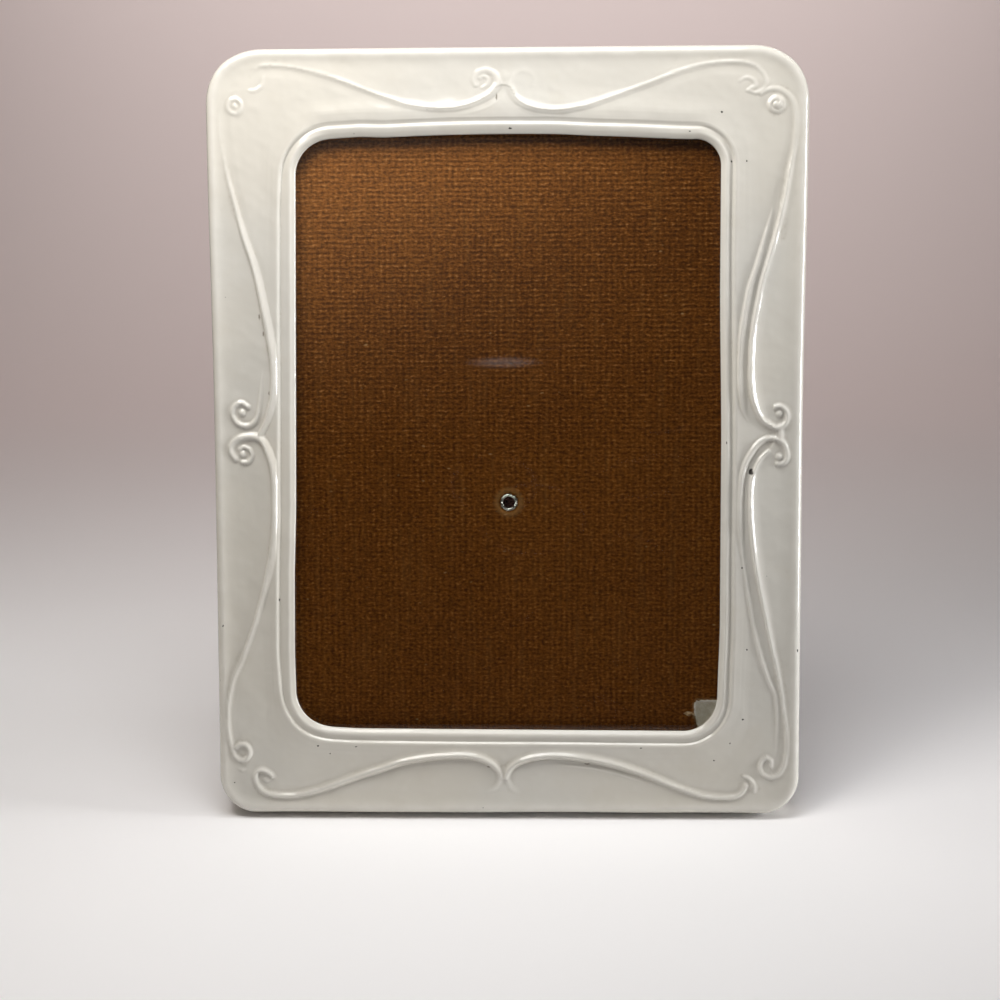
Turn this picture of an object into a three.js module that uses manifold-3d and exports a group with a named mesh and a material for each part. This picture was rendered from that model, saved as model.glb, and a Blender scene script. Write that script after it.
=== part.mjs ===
// A cast-metal easel picture frame for a 5 x 7 inch picture: an enamelled casting with scroll
// ridges, a glass pane, a hardboard back held by four turn buttons, and a swivelling easel leg.
// Millimetres, +Z up, front facing -Y, standing on z = 0.
import * as THREE from "three";
import { mergeVertices } from "three/addons/utils/BufferGeometryUtils.js";
import Module from "manifold-3d";

const wasm = await Module();
wasm.setup();

// ---------------------------------------------------------------- driving dimensions
// The casting's own axes: u to the right, v up along its face, w forward from its back rim.
const LEAN = 13; // degrees that the frame leans back when it stands
const TRIM = 0.4; // depth of the flat on the rear bottom edge

const OUT = { half: 84.35, top: 109.45, bottom: -110.0, rTop: 15, rBottom: 11 };
const SIGHT = { half: 60.45, top: 84.2, bottom: -84.7, rTL: 10, rTR: 7.5, rBL: 8.5, rBR: 10 };
const REBATE = { half: 64.05, top: 88.9, bottom: -89.4, r: 0.8 };
const RIB = 2.5; // wall between the rebate and the hollow back of the rails
const FLARE = 0.9; // the outline widens by this much towards the top
const FACE_W = 9.1; // dished face
const RIM_W = 9.6; // rolled outer rim
const BEAD_W = 10.2; // thin bead around the opening
const LIP_W = 9.9; // rounded lip at the opening
const EDGE_W = 9.2; // sharp edge of the lip
const REBATE_W = 8.0; // rebate floor
const RIB_W = 2.6; // back of the rebate wall
const HOLLOW_W = 6.2; // floor of the hollow back
const SKIRT = 3.0; // outer wall thickness

const GLASS = { w: 127.0, h: 177.6, front: 7.7, back: 5.7 };
const BOARD = { w: 126.9, h: 177.6, front: 5.4, back: 2.4 };
const PANE_V = (REBATE.top + REBATE.bottom) / 2;

const RIVET = { u: 0.4, v: -19.3, shank: 1.95, bore: 1.6, rim: 2.35, head: 3.6 };
const HINGE_DROP = 9; // hinge axis below the rivet
const HINGE_W = -1.2; // hinge axis behind the back rim
const OPEN = 26; // degrees that the leg stands out from the back on its stop
const KNUCKLE = 2.0, PIN_BORE = 1.25, PIN = 0.9;
const PLATE = { front: 2.1, back: 1.3, half: 13.3 };
const LEG = { top: 24, foot: 46, thick: 3.0, length: 86 };

const BUTTON = { u: 69.35, vTop: 48, vLow: -62, front: 2.1, back: 1.1, round: 4, tip: 2.4, reach: 8 };
const BOSS = 4, BOSS_W = 2.4;
const SCREW = { head: 3.0, shank: 1.4, bore: 1.75, under: 0.8, over: -0.4, tip: 6.0 };

// ---------------------------------------------------------------- helpers
const deg = (a) => (a * Math.PI) / 180;
const smooth = (a, b, x) => {
  const t = Math.min(1, Math.max(0, (x - a) / (b - a)));
  return t * t * (3 - 2 * t);
};

function solid(geometry) {
  const g = geometry.clone();
  for (const name of Object.keys(g.attributes)) if (name !== "position") g.deleteAttribute(name);
  const m = mergeVertices(g, 1e-4);
  const make = (triVerts) =>
    new wasm.Manifold(new wasm.Mesh({ numProp: 3, vertProperties: m.attributes.position.array, triVerts }));
  const tri = new Uint32Array(m.index.array);
  const first = make(tri);
  if (first.volume() > 0) return first;
  for (let i = 0; i < tri.length; i += 3) [tri[i + 1], tri[i + 2]] = [tri[i + 2], tri[i + 1]];
  return make(tri);
}

function geometryOf(manifold) {
  const m = manifold.getMesh();
  const v = new Float32Array(m.numVert * 3);
  for (let i = 0; i < m.numVert; i++) v.set(m.vertProperties.subarray(i * m.numProp, i * m.numProp + 3), i * 3);
  const g = new THREE.BufferGeometry();
  g.setAttribute("position", new THREE.BufferAttribute(v, 3));
  g.setIndex(new THREE.BufferAttribute(new Uint32Array(m.triVerts), 1));
  g.computeVertexNormals();
  return g;
}

function box(x0, x1, y0, y1, z0, z1) {
  return new THREE.BoxGeometry(x1 - x0, y1 - y0, z1 - z0).translate((x0 + x1) / 2, (y0 + y1) / 2, (z0 + z1) / 2);
}

// A round bar along z, or along x.
function rodZ(radius, z0, z1, sides, x = 0, y = 0) {
  return new THREE.CylinderGeometry(radius, radius, z1 - z0, sides).rotateX(Math.PI / 2).translate(x, y, (z0 + z1) / 2);
}
function rodX(radius, x0, x1, sides, y = 0, z = 0) {
  return new THREE.CylinderGeometry(radius, radius, x1 - x0, sides).rotateZ(Math.PI / 2).translate((x0 + x1) / 2, y, z);
}

// A turned piece about z from pairs of radius and height.
function turned(pairs, sides) {
  return new THREE.LatheGeometry(pairs.map(([r, z]) => new THREE.Vector2(r, z)), sides).rotateX(Math.PI / 2);
}

function sheet(outline, z0, z1, holes = []) {
  const shape = new THREE.Shape(outline.map(([x, y]) => new THREE.Vector2(x, y)));
  for (const [x, y, r] of holes) {
    const path = new THREE.Path();
    path.absarc(x, y, r, 0, 2 * Math.PI, true);
    shape.holes.push(path);
  }
  return new THREE.ExtrudeGeometry(shape, { depth: z1 - z0, bevelEnabled: false, curveSegments: 7 }).translate(0, 0, z0);
}

const finish = (color, roughness, metalness) => new THREE.MeshStandardMaterial({ color, roughness, metalness });
function piece(name, source, material) {
  const geometry = source.isBufferGeometry ? geometryOf(solid(source)) : geometryOf(source);
  const mesh = new THREE.Mesh(geometry, material);
  mesh.name = name;
  return mesh;
}

const enamel = () => finish(0xe6e4da, 0.22, 0.0);
const paneGlass = () => finish(0xeef2f0, 0.03, 0.0);
const hardboard = () => finish(0x4a2c14, 0.75, 0.0);
const legBoard = () => finish(0x553419, 0.7, 0.0);
const brightSteel = () => finish(0xb9bbbd, 0.35, 1.0);
const dullSteel = () => finish(0x9a9893, 0.5, 1.0);

// ---------------------------------------------------------------- nested groups
const frame = new THREE.Group();
const lean = new THREE.Group();
lean.rotation.x = deg(90 - LEAN);
lean.position.z = -OUT.bottom * Math.cos(deg(LEAN)) - TRIM;
frame.add(lean);

const swivel = new THREE.Group();
swivel.position.set(RIVET.u, RIVET.v, 0);
lean.add(swivel);

const leg = new THREE.Group();
leg.position.set(0, -HINGE_DROP, HINGE_W);
leg.rotation.x = deg(OPEN);
swivel.add(leg);
frame.updateMatrixWorld(true);

// What lies below the standing surface, seen from a group's own axes.
const floorFor = (group) =>
  solid(box(-300, 300, -300, 300, -60, 0).applyMatrix4(group.matrixWorld.clone().invert()));

// ---------------------------------------------------------------- the casting
const SIDE_X = 6, SIDE_Y = 8, CORNER = 6;

// One closed ring of points: a rectangle with four corner radii, anticlockwise from lower left.
function ring({ left, right, bottom, top, rTL, rTR, rBL, rBR }) {
  const pts = [];
  const run = (x0, y0, x1, y1, n) => {
    for (let i = 0; i < n; i++) pts.push([x0 + ((x1 - x0) * i) / n, y0 + ((y1 - y0) * i) / n]);
  };
  const turn = (cx, cy, r, from) => {
    for (let i = 0; i < CORNER; i++) {
      const a = deg(from + (90 * i) / CORNER);
      pts.push([cx + r * Math.cos(a), cy + r * Math.sin(a)]);
    }
  };
  run(left + rBL, bottom, right - rBR, bottom, SIDE_X);
  turn(right - rBR, bottom + rBR, rBR, -90);
  run(right, bottom + rBR, right, top - rTR, SIDE_Y);
  turn(right - rTR, top - rTR, rTR, 0);
  run(right - rTR, top, left + rTL, top, SIDE_X);
  turn(left + rTL, top - rTL, rTL, 90);
  run(left, top - rTL, left, bottom + rBL, SIDE_Y);
  turn(left + rBL, bottom + rBL, rBL, 180);
  return pts;
}

const outer = (d) =>
  ring({
    left: -OUT.half + d, right: OUT.half - d, bottom: OUT.bottom + d, top: OUT.top - d,
    rTL: OUT.rTop - d, rTR: OUT.rTop - d, rBL: OUT.rBottom - d, rBR: OUT.rBottom - d,
  });
const inner = (d) =>
  ring({
    left: -SIGHT.half - d, right: SIGHT.half + d, bottom: SIGHT.bottom - d, top: SIGHT.top + d,
    rTL: SIGHT.rTL + d, rTR: SIGHT.rTR + d, rBL: SIGHT.rBL + d, rBR: SIGHT.rBR + d,
  });
const rebate = (d) =>
  ring({
    left: -REBATE.half - d, right: REBATE.half + d, bottom: REBATE.bottom - d, top: REBATE.top + d,
    rTL: REBATE.r + d, rTR: REBATE.r + d, rBL: REBATE.r + d, rBR: REBATE.r + d,
  });

// The casting is not quite square: it widens towards the top, the opening narrows a little on the
// left and its top edge is a shallow arch.
function warp([u, v]) {
  const a = Math.abs(u);
  let du = Math.sign(u) * FLARE * smooth(0, 95, v) * smooth(66, 82, a);
  if (u < 0) du += 0.0115 * v * smooth(30, 58, a) * (1 - smooth(64, 80, a));
  const dv = (0.9 - 1.7 * Math.min(1, (u / 52) ** 2)) * smooth(60, 80, v) * (1 - smooth(88, 104, v));
  return [u + du, v + dv];
}

const profile = [
  [outer(0), 0, 1],
  [outer(0.1), 6.5, 1],
  [outer(0.7), 8.7, 1],
  [outer(2.2), RIM_W, 1],
  [outer(3.6), FACE_W, 1],
  [outer(8), FACE_W, 1],
  [inner(6.2), 9.5, 1],
  [inner(5.0), BEAD_W, 1],
  [inner(3.9), EDGE_W, 1],
  [inner(2.5), 9.0, 1],
  [inner(1.1), LIP_W, 1],
  [inner(0), EDGE_W, 1],
  [inner(0), REBATE_W, 1],
  [rebate(0), REBATE_W, 0],
  [rebate(0), RIB_W, 0],
  [rebate(RIB), RIB_W, 0],
  [rebate(RIB), HOLLOW_W, 0],
  [outer(SKIRT), HOLLOW_W, 1],
  [outer(SKIRT - 0.3), 0, 1],
];

function loft(rows) {
  const n = rows[0][0].length;
  const at = [];
  for (const [pts, w, bent] of rows)
    for (const p of pts) {
      const [u, v] = bent ? warp(p) : p;
      at.push(u, v, w);
    }
  const index = [];
  for (let r = 0; r < rows.length; r++) {
    const r1 = (r + 1) % rows.length;
    for (let i = 0; i < n; i++) {
      const j = (i + 1) % n;
      index.push(r * n + i, r * n + j, r1 * n + j, r * n + i, r1 * n + j, r1 * n + i);
    }
  }
  const g = new THREE.BufferGeometry();
  g.setAttribute("position", new THREE.Float32BufferAttribute(at, 3));
  g.setIndex(index);
  return g;
}

// The scroll ridges: crest lines on the face, each with the radius of its half-round bar.
const ridges = [
  // top rail
  [1.15, [[-72.1, 101.7], [-68.4, 104.2], [-58.8, 103.5], [-48.4, 100.6], [-38.4, 96.8], [-28.6, 93.4], [-19.9, 92.1], [-11.5, 92.8], [-4.7, 95.8], [-2.3, 99.9], [-3.4, 101.7], [-5.7, 102.6], [-7.9, 102.0], [-9.0, 100.4]]],
  [1.15, [[8.1, 100.3], [7.0, 101.9], [4.8, 102.6], [2.6, 101.8], [1.3, 98.9], [2.8, 94.8], [9.5, 91.6], [19.3, 91.8], [30.2, 94.7], [43.0, 99.4], [54.1, 103.3], [65.2, 104.2], [71.8, 101.5], [72.2, 97.0], [67.7, 96.5]]],
  // left rail
  [1.15, [[-80.3, 81.3], [-77.4, 67.1], [-72.4, 51.2], [-67.7, 31.7], [-66.3, 17.5], [-67.7, 7.9], [-70.9, 0.7]]],
  [0.9, [[-70.0, 14.8], [-71.0, 7.1], [-73.3, 3.4], [-77.2, 3.8], [-78.6, 7.5], [-75.9, 9.6]]],
  [1.15, [[-78.2, -6.3], [-79.5, -2.9], [-76.8, -0.4], [-72.4, 0.0], [-69.0, -2.9], [-66.6, -10.8], [-66.2, -20.0], [-67.1, -30.4], [-69.5, -41.7], [-75.2, -59.7], [-80.6, -73.7], [-81.3, -84.0], [-80.3, -90.7], [-76.6, -94.2], [-74.3, -90.4], [-77.4, -88.8]]],
  // right rail
  [1.15, [[80.7, 80.2], [77.5, 65.9], [74.1, 52.0], [70.3, 36.7], [69.4, 19.0], [71.9, 6.6], [77.1, 2.1], [79.5, 5.1], [77.6, 8.2]]],
  [0.9, [[78.5, -8.0], [79.6, -4.7], [76.8, -1.1], [72.7, -1.4], [69.5, -4.9], [67.0, -13.5], [66.7, -20.4]]],
  [1.15, [[74.2, -4.4], [69.9, -12.6], [69.9, -24.0], [74.0, -49.2], [78.2, -71.8], [80.3, -88.0], [79.4, -96.9]]],
  [0.8, [[77.2, -74.9], [77.6, -86.9], [77.1, -95.5], [73.8, -97.2], [72.8, -95.0]]],
  // bottom rail
  [1.15, [[-67.5, -98.9], [-71.8, -96.4], [-73.0, -99.8], [-68.0, -104.1], [-57.2, -102.7], [-44.0, -98.0], [-30.4, -93.2], [-15.3, -90.9], [-5.2, -93.6], [-1.3, -98.6]]],
  [1.15, [[-0.7, -98.6], [5.4, -92.3], [15.6, -91.1], [28.3, -93.8], [43.3, -99.2], [59.4, -104.5], [68.0, -102.8], [68.7, -101.2]]],
  [0.8, [[67.3, -98.1], [70.4, -99.7], [71.3, -103.2]]],
];
const RIDGE_W = 9.35;
const volutes = [[-76.6, 93.2, 2.35], [75.7, 92.6, 2.6]];

function ridge(radius, points) {
  const curve = new THREE.CatmullRomCurve3(points.map(([u, v]) => new THREE.Vector3(u, v, RIDGE_W)), false, "centripetal");
  const section = new THREE.Shape();
  for (let i = 0; i < 6; i++) {
    const a = deg(60 * i);
    const p = [radius * Math.cos(a), radius * Math.sin(a)];
    if (i) section.lineTo(...p);
    else section.moveTo(...p);
  }
  section.closePath();
  return new THREE.ExtrudeGeometry(section, { steps: Math.round((points.length - 1) * 1.6), extrudePath: curve, bevelEnabled: false });
}

const buttonPlaces = [
  ["1", -BUTTON.u, BUTTON.vTop],
  ["2", BUTTON.u, BUTTON.vTop],
  ["3", -BUTTON.u, BUTTON.vLow],
  ["4", BUTTON.u, BUTTON.vLow],
];

let casting = solid(loft(profile));
for (const [radius, points] of ridges) casting = casting.add(solid(ridge(radius, points)));
for (const [u, v, r] of volutes) casting = casting.add(solid(rodZ(r, 8.4, 10.3, 10, u, v)));
for (const [, u, v] of buttonPlaces) {
  casting = casting.add(solid(rodZ(BOSS, BOSS_W, 7.4, 14, u, v)));
  casting = casting.subtract(solid(rodZ(SCREW.bore, 1.5, SCREW.tip + 0.6, 10, u, v)));
}
casting = casting.subtract(floorFor(lean));
lean.add(piece("cast_frame", casting, enamel()));

// ---------------------------------------------------------------- glass and back
lean.add(
  piece("glass", box(-GLASS.w / 2, GLASS.w / 2, PANE_V - GLASS.h / 2, PANE_V + GLASS.h / 2, GLASS.back, GLASS.front), paneGlass()),
);

// The hardboard back, its lower right corner broken away.
const bw = BOARD.w / 2, b0 = PANE_V - BOARD.h / 2, b1 = PANE_V + BOARD.h / 2;
const boardOutline = [
  [-bw, b0], [56.4, b0], [55.3, -85.3], [54.4, -83.5], [53.8, -82.3], [52.3, -81.6], [52.0, -80.3], [53.2, -79.6],
  [53.9, -78.3], [54.3, -77.1], [57.2, -76.7], [60.1, -77.0], [bw, -76.5], [bw, b1], [-bw, b1],
];
const board = solid(sheet(boardOutline, BOARD.back, BOARD.front, [[RIVET.u, RIVET.v, RIVET.shank + 0.35]])).subtract(
  solid(rodZ(RIVET.rim + 0.45, BOARD.front - 0.9, BOARD.front + 1, 14, RIVET.u, RIVET.v)),
);
lean.add(piece("backing_board", board, hardboard()));

// The rivet: solid head behind, hollow end rolled over in front.
const rivet = piece(
  "swivel_rivet",
  turned(
    [[0, 0.3], [3.0, 0.3], [RIVET.head, 0.6], [RIVET.head, 0.9], [RIVET.shank, 1.0], [RIVET.shank, 4.75], [RIVET.rim, 4.85],
     [RIVET.rim, 5.1], [2.1, 5.3], [1.75, 5.25], [RIVET.bore, 5.0], [RIVET.bore, 2.4], [0, 2.2]],
    16,
  ),
  brightSteel(),
);
rivet.position.set(RIVET.u, RIVET.v, 0);
lean.add(rivet);

// ---------------------------------------------------------------- swivel plate and hinge pin
const plateOutline = [[-PLATE.half, -6.6], [PLATE.half, -6.6], [PLATE.half, -3.6], [7.2, 4.2], [5.0, 6.7], [1.8, 8.1], [-1.8, 8.1], [-5.0, 6.7], [-7.2, 4.2], [-PLATE.half, -3.6]];
let plate = solid(sheet(plateOutline, PLATE.back, PLATE.front, [[0, 0, RIVET.shank + 0.35]]));
for (const side of [-1, 1]) {
  const x0 = side < 0 ? -PLATE.half : 5.0, x1 = side < 0 ? -5.0 : PLATE.half;
  plate = plate
    .add(solid(box(x0, x1, -HINGE_DROP + 0.4, -6.1, HINGE_W + 0.8, PLATE.front)))
    .add(solid(rodX(KNUCKLE, x0, x1, 16, -HINGE_DROP, HINGE_W)))
    .subtract(solid(rodX(PIN_BORE, x0 - 1, x1 + 1, 12, -HINGE_DROP, HINGE_W)));
}
swivel.add(piece("swivel_plate", plate, dullSteel()));

const pin = solid(rodX(PIN, -14.0, 14.0, 12, -HINGE_DROP, HINGE_W))
  .add(solid(rodX(1.7, -14.3, -13.6, 12, -HINGE_DROP, HINGE_W)))
  .add(solid(rodX(1.7, 13.6, 14.3, 12, -HINGE_DROP, HINGE_W)));
swivel.add(piece("hinge_pin", pin, brightSteel()));

// ---------------------------------------------------------------- easel leg, drawn folded flat
const leafOutline = [[-4.4, 0.2], [-4.4, -3.6], [-8, -6.5], [-8, -22], [-5, -25.5], [5, -25.5], [8, -22], [8, -6.5], [4.4, -3.6], [4.4, 0.2]];
const rivetSpots = [-10, -20];
const leaf = solid(sheet(leafOutline, -2.0, -1.2, rivetSpots.map((y) => [0, y, 1.5])))
  .add(solid(rodX(KNUCKLE, -4.4, 4.4, 16, 0, 0)))
  .add(solid(box(-3.4, 3.4, 1.0, 4.0, -0.5, 0.5)))
  .subtract(solid(rodX(PIN_BORE, -6, 6, 12, 0, 0)));
leg.add(piece("strut_leaf", leaf, dullSteel()));

const legOutline = [[-LEG.top / 2 + 3, -3.6], [-LEG.top / 2, -6.6], [-LEG.foot / 2, -LEG.length], [LEG.foot / 2, -LEG.length], [LEG.top / 2, -6.6], [LEG.top / 2 - 3, -3.6]];
const strut = solid(sheet(legOutline, -2.3 - LEG.thick, -2.3, rivetSpots.map((y) => [0, y, 1.5]))).subtract(floorFor(leg));
leg.add(piece("strut", strut, legBoard()));

rivetSpots.forEach((y, i) => {
  const r = piece(
    "strut_rivet_" + (i + 1),
    turned([[0, -6.5], [1.4, -6.4], [2.4, -5.9], [2.4, -5.6], [1.15, -5.6], [1.15, -0.9], [2.4, -0.9], [2.4, -0.6], [1.4, -0.2], [0, -0.1]], 12),
    brightSteel(),
  );
  r.position.set(0, y, 0);
  leg.add(r);
});

// ---------------------------------------------------------------- turn buttons and their screws
const buttonOutline = [];
for (let i = 0; i <= 8; i++) {
  const a = deg(75 + (210 * i) / 8);
  buttonOutline.push([BUTTON.round * Math.cos(a), BUTTON.round * Math.sin(a)]);
}
for (let i = 0; i <= 5; i++) {
  const a = deg(-80 + (160 * i) / 5);
  buttonOutline.push([BUTTON.reach + BUTTON.tip * Math.cos(a), BUTTON.tip * Math.sin(a)]);
}
for (const [n, u, v] of buttonPlaces) {
  const b = piece("turn_button_" + n, sheet(buttonOutline, BUTTON.back, BUTTON.front, [[0, 0, SCREW.bore]]), brightSteel());
  b.position.set(u, v, 0);
  if (u > 0) b.rotation.z = Math.PI;
  lean.add(b);
  const s = solid(
    turned([[0, SCREW.over], [1.7, SCREW.over + 0.1], [2.6, SCREW.over + 0.5], [SCREW.head, SCREW.under - 0.2], [SCREW.head, SCREW.under], [SCREW.shank, SCREW.under],
      [SCREW.shank, SCREW.tip - 0.9], [0.4, SCREW.tip], [0, SCREW.tip]], 14),
  ).subtract(solid(box(-4, 4, -0.4, 0.4, SCREW.over - 1, SCREW.over + 0.6).rotateZ(deg(20 + 37 * Number(n)))));
  const screw = piece("button_screw_" + n, s, brightSteel());
  screw.position.set(u, v, 0);
  lean.add(screw);
}

// ---------------------------------------------------------------- origin under the middle of the object
frame.updateMatrixWorld(true);
const span = new THREE.Box3().setFromObject(frame, true);
lean.position.x -= (span.min.x + span.max.x) / 2;
lean.position.y -= (span.min.y + span.max.y) / 2;
frame.updateMatrixWorld(true);

export default frame;
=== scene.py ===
import math

import bmesh
import bpy
import numpy as np
from mathutils import Matrix, Vector


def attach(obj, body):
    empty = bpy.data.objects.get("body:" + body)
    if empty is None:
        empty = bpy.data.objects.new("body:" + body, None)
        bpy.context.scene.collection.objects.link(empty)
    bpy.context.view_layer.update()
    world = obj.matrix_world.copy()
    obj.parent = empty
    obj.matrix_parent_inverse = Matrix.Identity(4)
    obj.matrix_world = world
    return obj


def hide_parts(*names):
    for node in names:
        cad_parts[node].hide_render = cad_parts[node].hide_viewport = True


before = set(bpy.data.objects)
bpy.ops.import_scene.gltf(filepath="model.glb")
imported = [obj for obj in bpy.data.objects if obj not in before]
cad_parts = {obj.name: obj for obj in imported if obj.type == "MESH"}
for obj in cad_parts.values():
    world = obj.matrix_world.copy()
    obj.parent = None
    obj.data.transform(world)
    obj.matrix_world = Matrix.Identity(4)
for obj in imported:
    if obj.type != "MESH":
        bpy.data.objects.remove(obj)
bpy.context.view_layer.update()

# ----------------------------------------------------------------------------
# Axes. Casting axes in millimetres: u right, v up along the face, w forward from
# the back rim. The face leans back 13 degrees.
# ----------------------------------------------------------------------------
LEAN_C, LEAN_S = 0.974370, 0.224951
OFF_Y, OFF_Z = 4.538968, 106.780707
RIVET_U, RIVET_V = 0.4, -19.3
FOLD_C, FOLD_S = math.cos(math.radians(26.0)), math.sin(math.radians(26.0))


def to_world(p):
    p = np.asarray(p, float).reshape(-1, 3)
    return np.stack([p[:, 0],
                     LEAN_S * p[:, 1] - LEAN_C * p[:, 2] + OFF_Y,
                     LEAN_C * p[:, 1] + LEAN_S * p[:, 2] + OFF_Z], 1) / 1000.0


def turn_world(d):
    d = np.asarray(d, float)
    return Vector((d[0], LEAN_S * d[1] - LEAN_C * d[2], LEAN_C * d[1] + LEAN_S * d[2]))


def same(p):
    return np.asarray(p, float).reshape(-1, 3)


def from_swivel(p):
    p = same(p)
    return p + np.array([RIVET_U, RIVET_V, 0.0])


def from_leg(p):
    p = same(p)
    return np.stack([p[:, 0] + RIVET_U,
                     p[:, 1] * FOLD_C - p[:, 2] * FOLD_S + RIVET_V - 9.0,
                     p[:, 1] * FOLD_S + p[:, 2] * FOLD_C - 1.2], 1)


def smooth(a, b, x):
    t = np.clip((np.asarray(x, float) - a) / (b - a), 0.0, 1.0)
    return t * t * (3.0 - 2.0 * t)


def smax(a, b, k):
    return 0.5 * (a + b + np.sqrt((a - b) ** 2 + k * k))


# ----------------------------------------------------------------------------
# Seeded surface waves, in millimetres
# ----------------------------------------------------------------------------
def waves(seed, count, shortest, longest):
    rng = np.random.default_rng(seed)
    lam = np.exp(rng.uniform(math.log(shortest), math.log(longest), count))
    ang = rng.uniform(0, 2 * math.pi, count)
    return np.stack([np.cos(ang) / lam, np.sin(ang) / lam, rng.uniform(0, 1, count)], 1)


def wave_sum(table, u, v):
    total = np.zeros_like(u, dtype=float)
    for kx, ky, ph in table:
        total += np.sin(2 * math.pi * (kx * u + ky * v + ph))
    return total / math.sqrt(len(table))


# ----------------------------------------------------------------------------
# Mesh helpers: every shape is (vertices, faces) in millimetres
# ----------------------------------------------------------------------------
def signed_volume(v, faces):
    total = 0.0
    sizes = np.array([len(f) for f in faces])
    for n in np.unique(sizes):
        q = np.array([faces[i] for i in np.where(sizes == n)[0]])
        for i in range(1, n - 1):
            total += float((v[q[:, 0]] * np.cross(v[q[:, i]], v[q[:, i + 1]])).sum())
    return total


def outward(v, faces):
    v = same(v)
    if signed_volume(v, faces) < 0:
        faces = [tuple(reversed(f)) for f in faces]
    return v, faces


def join(*shapes):
    verts, faces, at = [], [], 0
    for v, f in shapes:
        v = same(v)
        verts.append(v)
        faces += [tuple(i + at for i in q) for q in f]
        at += len(v)
    return np.concatenate(verts), faces


def moved(shape, offset=(0, 0, 0), turn_z=0.0):
    v, f = shape
    v = same(v)
    c, s = math.cos(turn_z), math.sin(turn_z)
    v = np.stack([v[:, 0] * c - v[:, 1] * s, v[:, 0] * s + v[:, 1] * c, v[:, 2]], 1)
    return v + np.array(offset, float), f


def lathe(profile, n=64, closed=False, ripple=None):
    """Turned shape about z. profile is (r, z); ripple(k, angle) may scale r."""
    verts, rings = [], []
    for k, (r, z) in enumerate(profile):
        if r < 1e-6:
            rings.append([len(verts)])
            verts.append((0.0, 0.0, z))
            continue
        ring = []
        for i in range(n):
            a = 2 * math.pi * i / n
            dr, dz = ripple(k, a) if ripple else (0.0, 0.0)
            ring.append(len(verts))
            verts.append(((r + dr) * math.cos(a), (r + dr) * math.sin(a), z + dz))
        rings.append(ring)
    faces = []
    pairs = list(zip(rings, rings[1:]))
    if closed:
        pairs.append((rings[-1], rings[0]))
    for a, b in pairs:
        for i in range(n):
            j = (i + 1) % n
            if len(a) == 1 and len(b) == 1:
                continue
            if len(a) == 1:
                faces.append((a[0], b[i], b[j]))
            elif len(b) == 1:
                faces.append((a[i], b[0], a[j]))
            else:
                faces.append((a[i], b[i], b[j], a[j]))
    return outward(verts, faces)


def circle(cx, cy, r, n=48):
    return [(cx + r * math.cos(2 * math.pi * i / n), cy + r * math.sin(2 * math.pi * i / n)) for i in range(n)]


def arc(cx, cy, r, a0, a1, n):
    return [(cx + r * math.cos(math.radians(a0 + (a1 - a0) * i / n)),
             cy + r * math.sin(math.radians(a0 + (a1 - a0) * i / n))) for i in range(n + 1)]


def rounded(points, radius, n=5, closed=True):
    """Corner rounding of a polyline; radius is a number or one per corner."""
    pts = [np.array(p, float) for p in points]
    out = []
    for i, p in enumerate(pts):
        if not closed and i in (0, len(pts) - 1):
            out.append(tuple(p))
            continue
        a, b = pts[i - 1], pts[(i + 1) % len(pts)]
        r = radius[i] if hasattr(radius, "__len__") else radius
        da, db = a - p, b - p
        la, lb = np.linalg.norm(da), np.linalg.norm(db)
        da, db = da / la, db / lb
        half = math.acos(max(-1.0, min(1.0, float(da @ db)))) / 2
        if r <= 0 or half > math.radians(89):
            out.append(tuple(p))
            continue
        back = min(r / math.tan(half), 0.48 * la, 0.48 * lb)
        s, e = p + da * back, p + db * back
        for k in range(n + 1):
            t = k / n
            out.append(tuple((1 - t) ** 2 * s + 2 * t * (1 - t) * p + t * t * e))
    return out


def ccw(points):
    p = np.asarray(points, float)
    q = np.roll(p, -1, 0)
    return p if float((p[:, 0] * q[:, 1] - q[:, 0] * p[:, 1]).sum()) > 0 else p[::-1]


def plate(outline, z0, z1, holes=(), bevel=0.12, steps=3, swap=None):
    """Flat stock with holes and rounded edges. swap reorders the axes at the end."""
    bm = bmesh.new()
    low, high = [], []
    for k, pts in enumerate([outline, *holes]):
        p = ccw(pts)
        e = np.roll(p, -1, 0) - p
        e /= np.linalg.norm(e, axis=1)[:, None]
        nl = np.stack([-e[:, 1], e[:, 0]], 1) * (1 if k == 0 else -1)
        n0 = np.roll(nl, 1, 0)
        miter = (n0 + nl) / np.maximum(1.0 + (n0 * nl).sum(1), 0.35)[:, None]
        levels = []
        for i in range(steps + 1):
            a = i / steps * math.pi / 2
            levels.append((bevel * (1 - math.sin(a)), z0 + bevel * (1 - math.cos(a))))
        for i in range(steps, -1, -1):
            a = i / steps * math.pi / 2
            levels.append((bevel * (1 - math.sin(a)), z1 - bevel * (1 - math.cos(a))))
        rings = []
        for off, z in levels:
            q = p + miter * off
            rings.append([bm.verts.new((x, y, z)) for x, y in q])
        m = len(p)
        for a, b in zip(rings, rings[1:]):
            for i in range(m):
                bm.faces.new((a[i], a[(i + 1) % m], b[(i + 1) % m], b[i]))
        for i in range(m):
            low.append(bm.edges.get((rings[0][i], rings[0][(i + 1) % m])))
            high.append(bm.edges.get((rings[-1][i], rings[-1][(i + 1) % m])))
    bmesh.ops.triangle_fill(bm, use_beauty=True, use_dissolve=False, edges=low)
    bmesh.ops.triangle_fill(bm, use_beauty=True, use_dissolve=False, edges=high)
    bmesh.ops.recalc_face_normals(bm, faces=bm.faces)
    bm.verts.ensure_lookup_table()
    bm.verts.index_update()
    v = np.array([x.co[:] for x in bm.verts])
    f = [tuple(x.index for x in q.verts) for q in bm.faces]
    bm.free()
    if swap:
        v = v[:, swap]
    return outward(v, f)


def box_bar(x0, x1, y0, y1, z0, z1, bevel=0.1):
    return plate([(x0, y0), (x1, y0), (x1, y1), (x0, y1)], z0, z1, bevel=bevel, steps=2)


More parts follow.
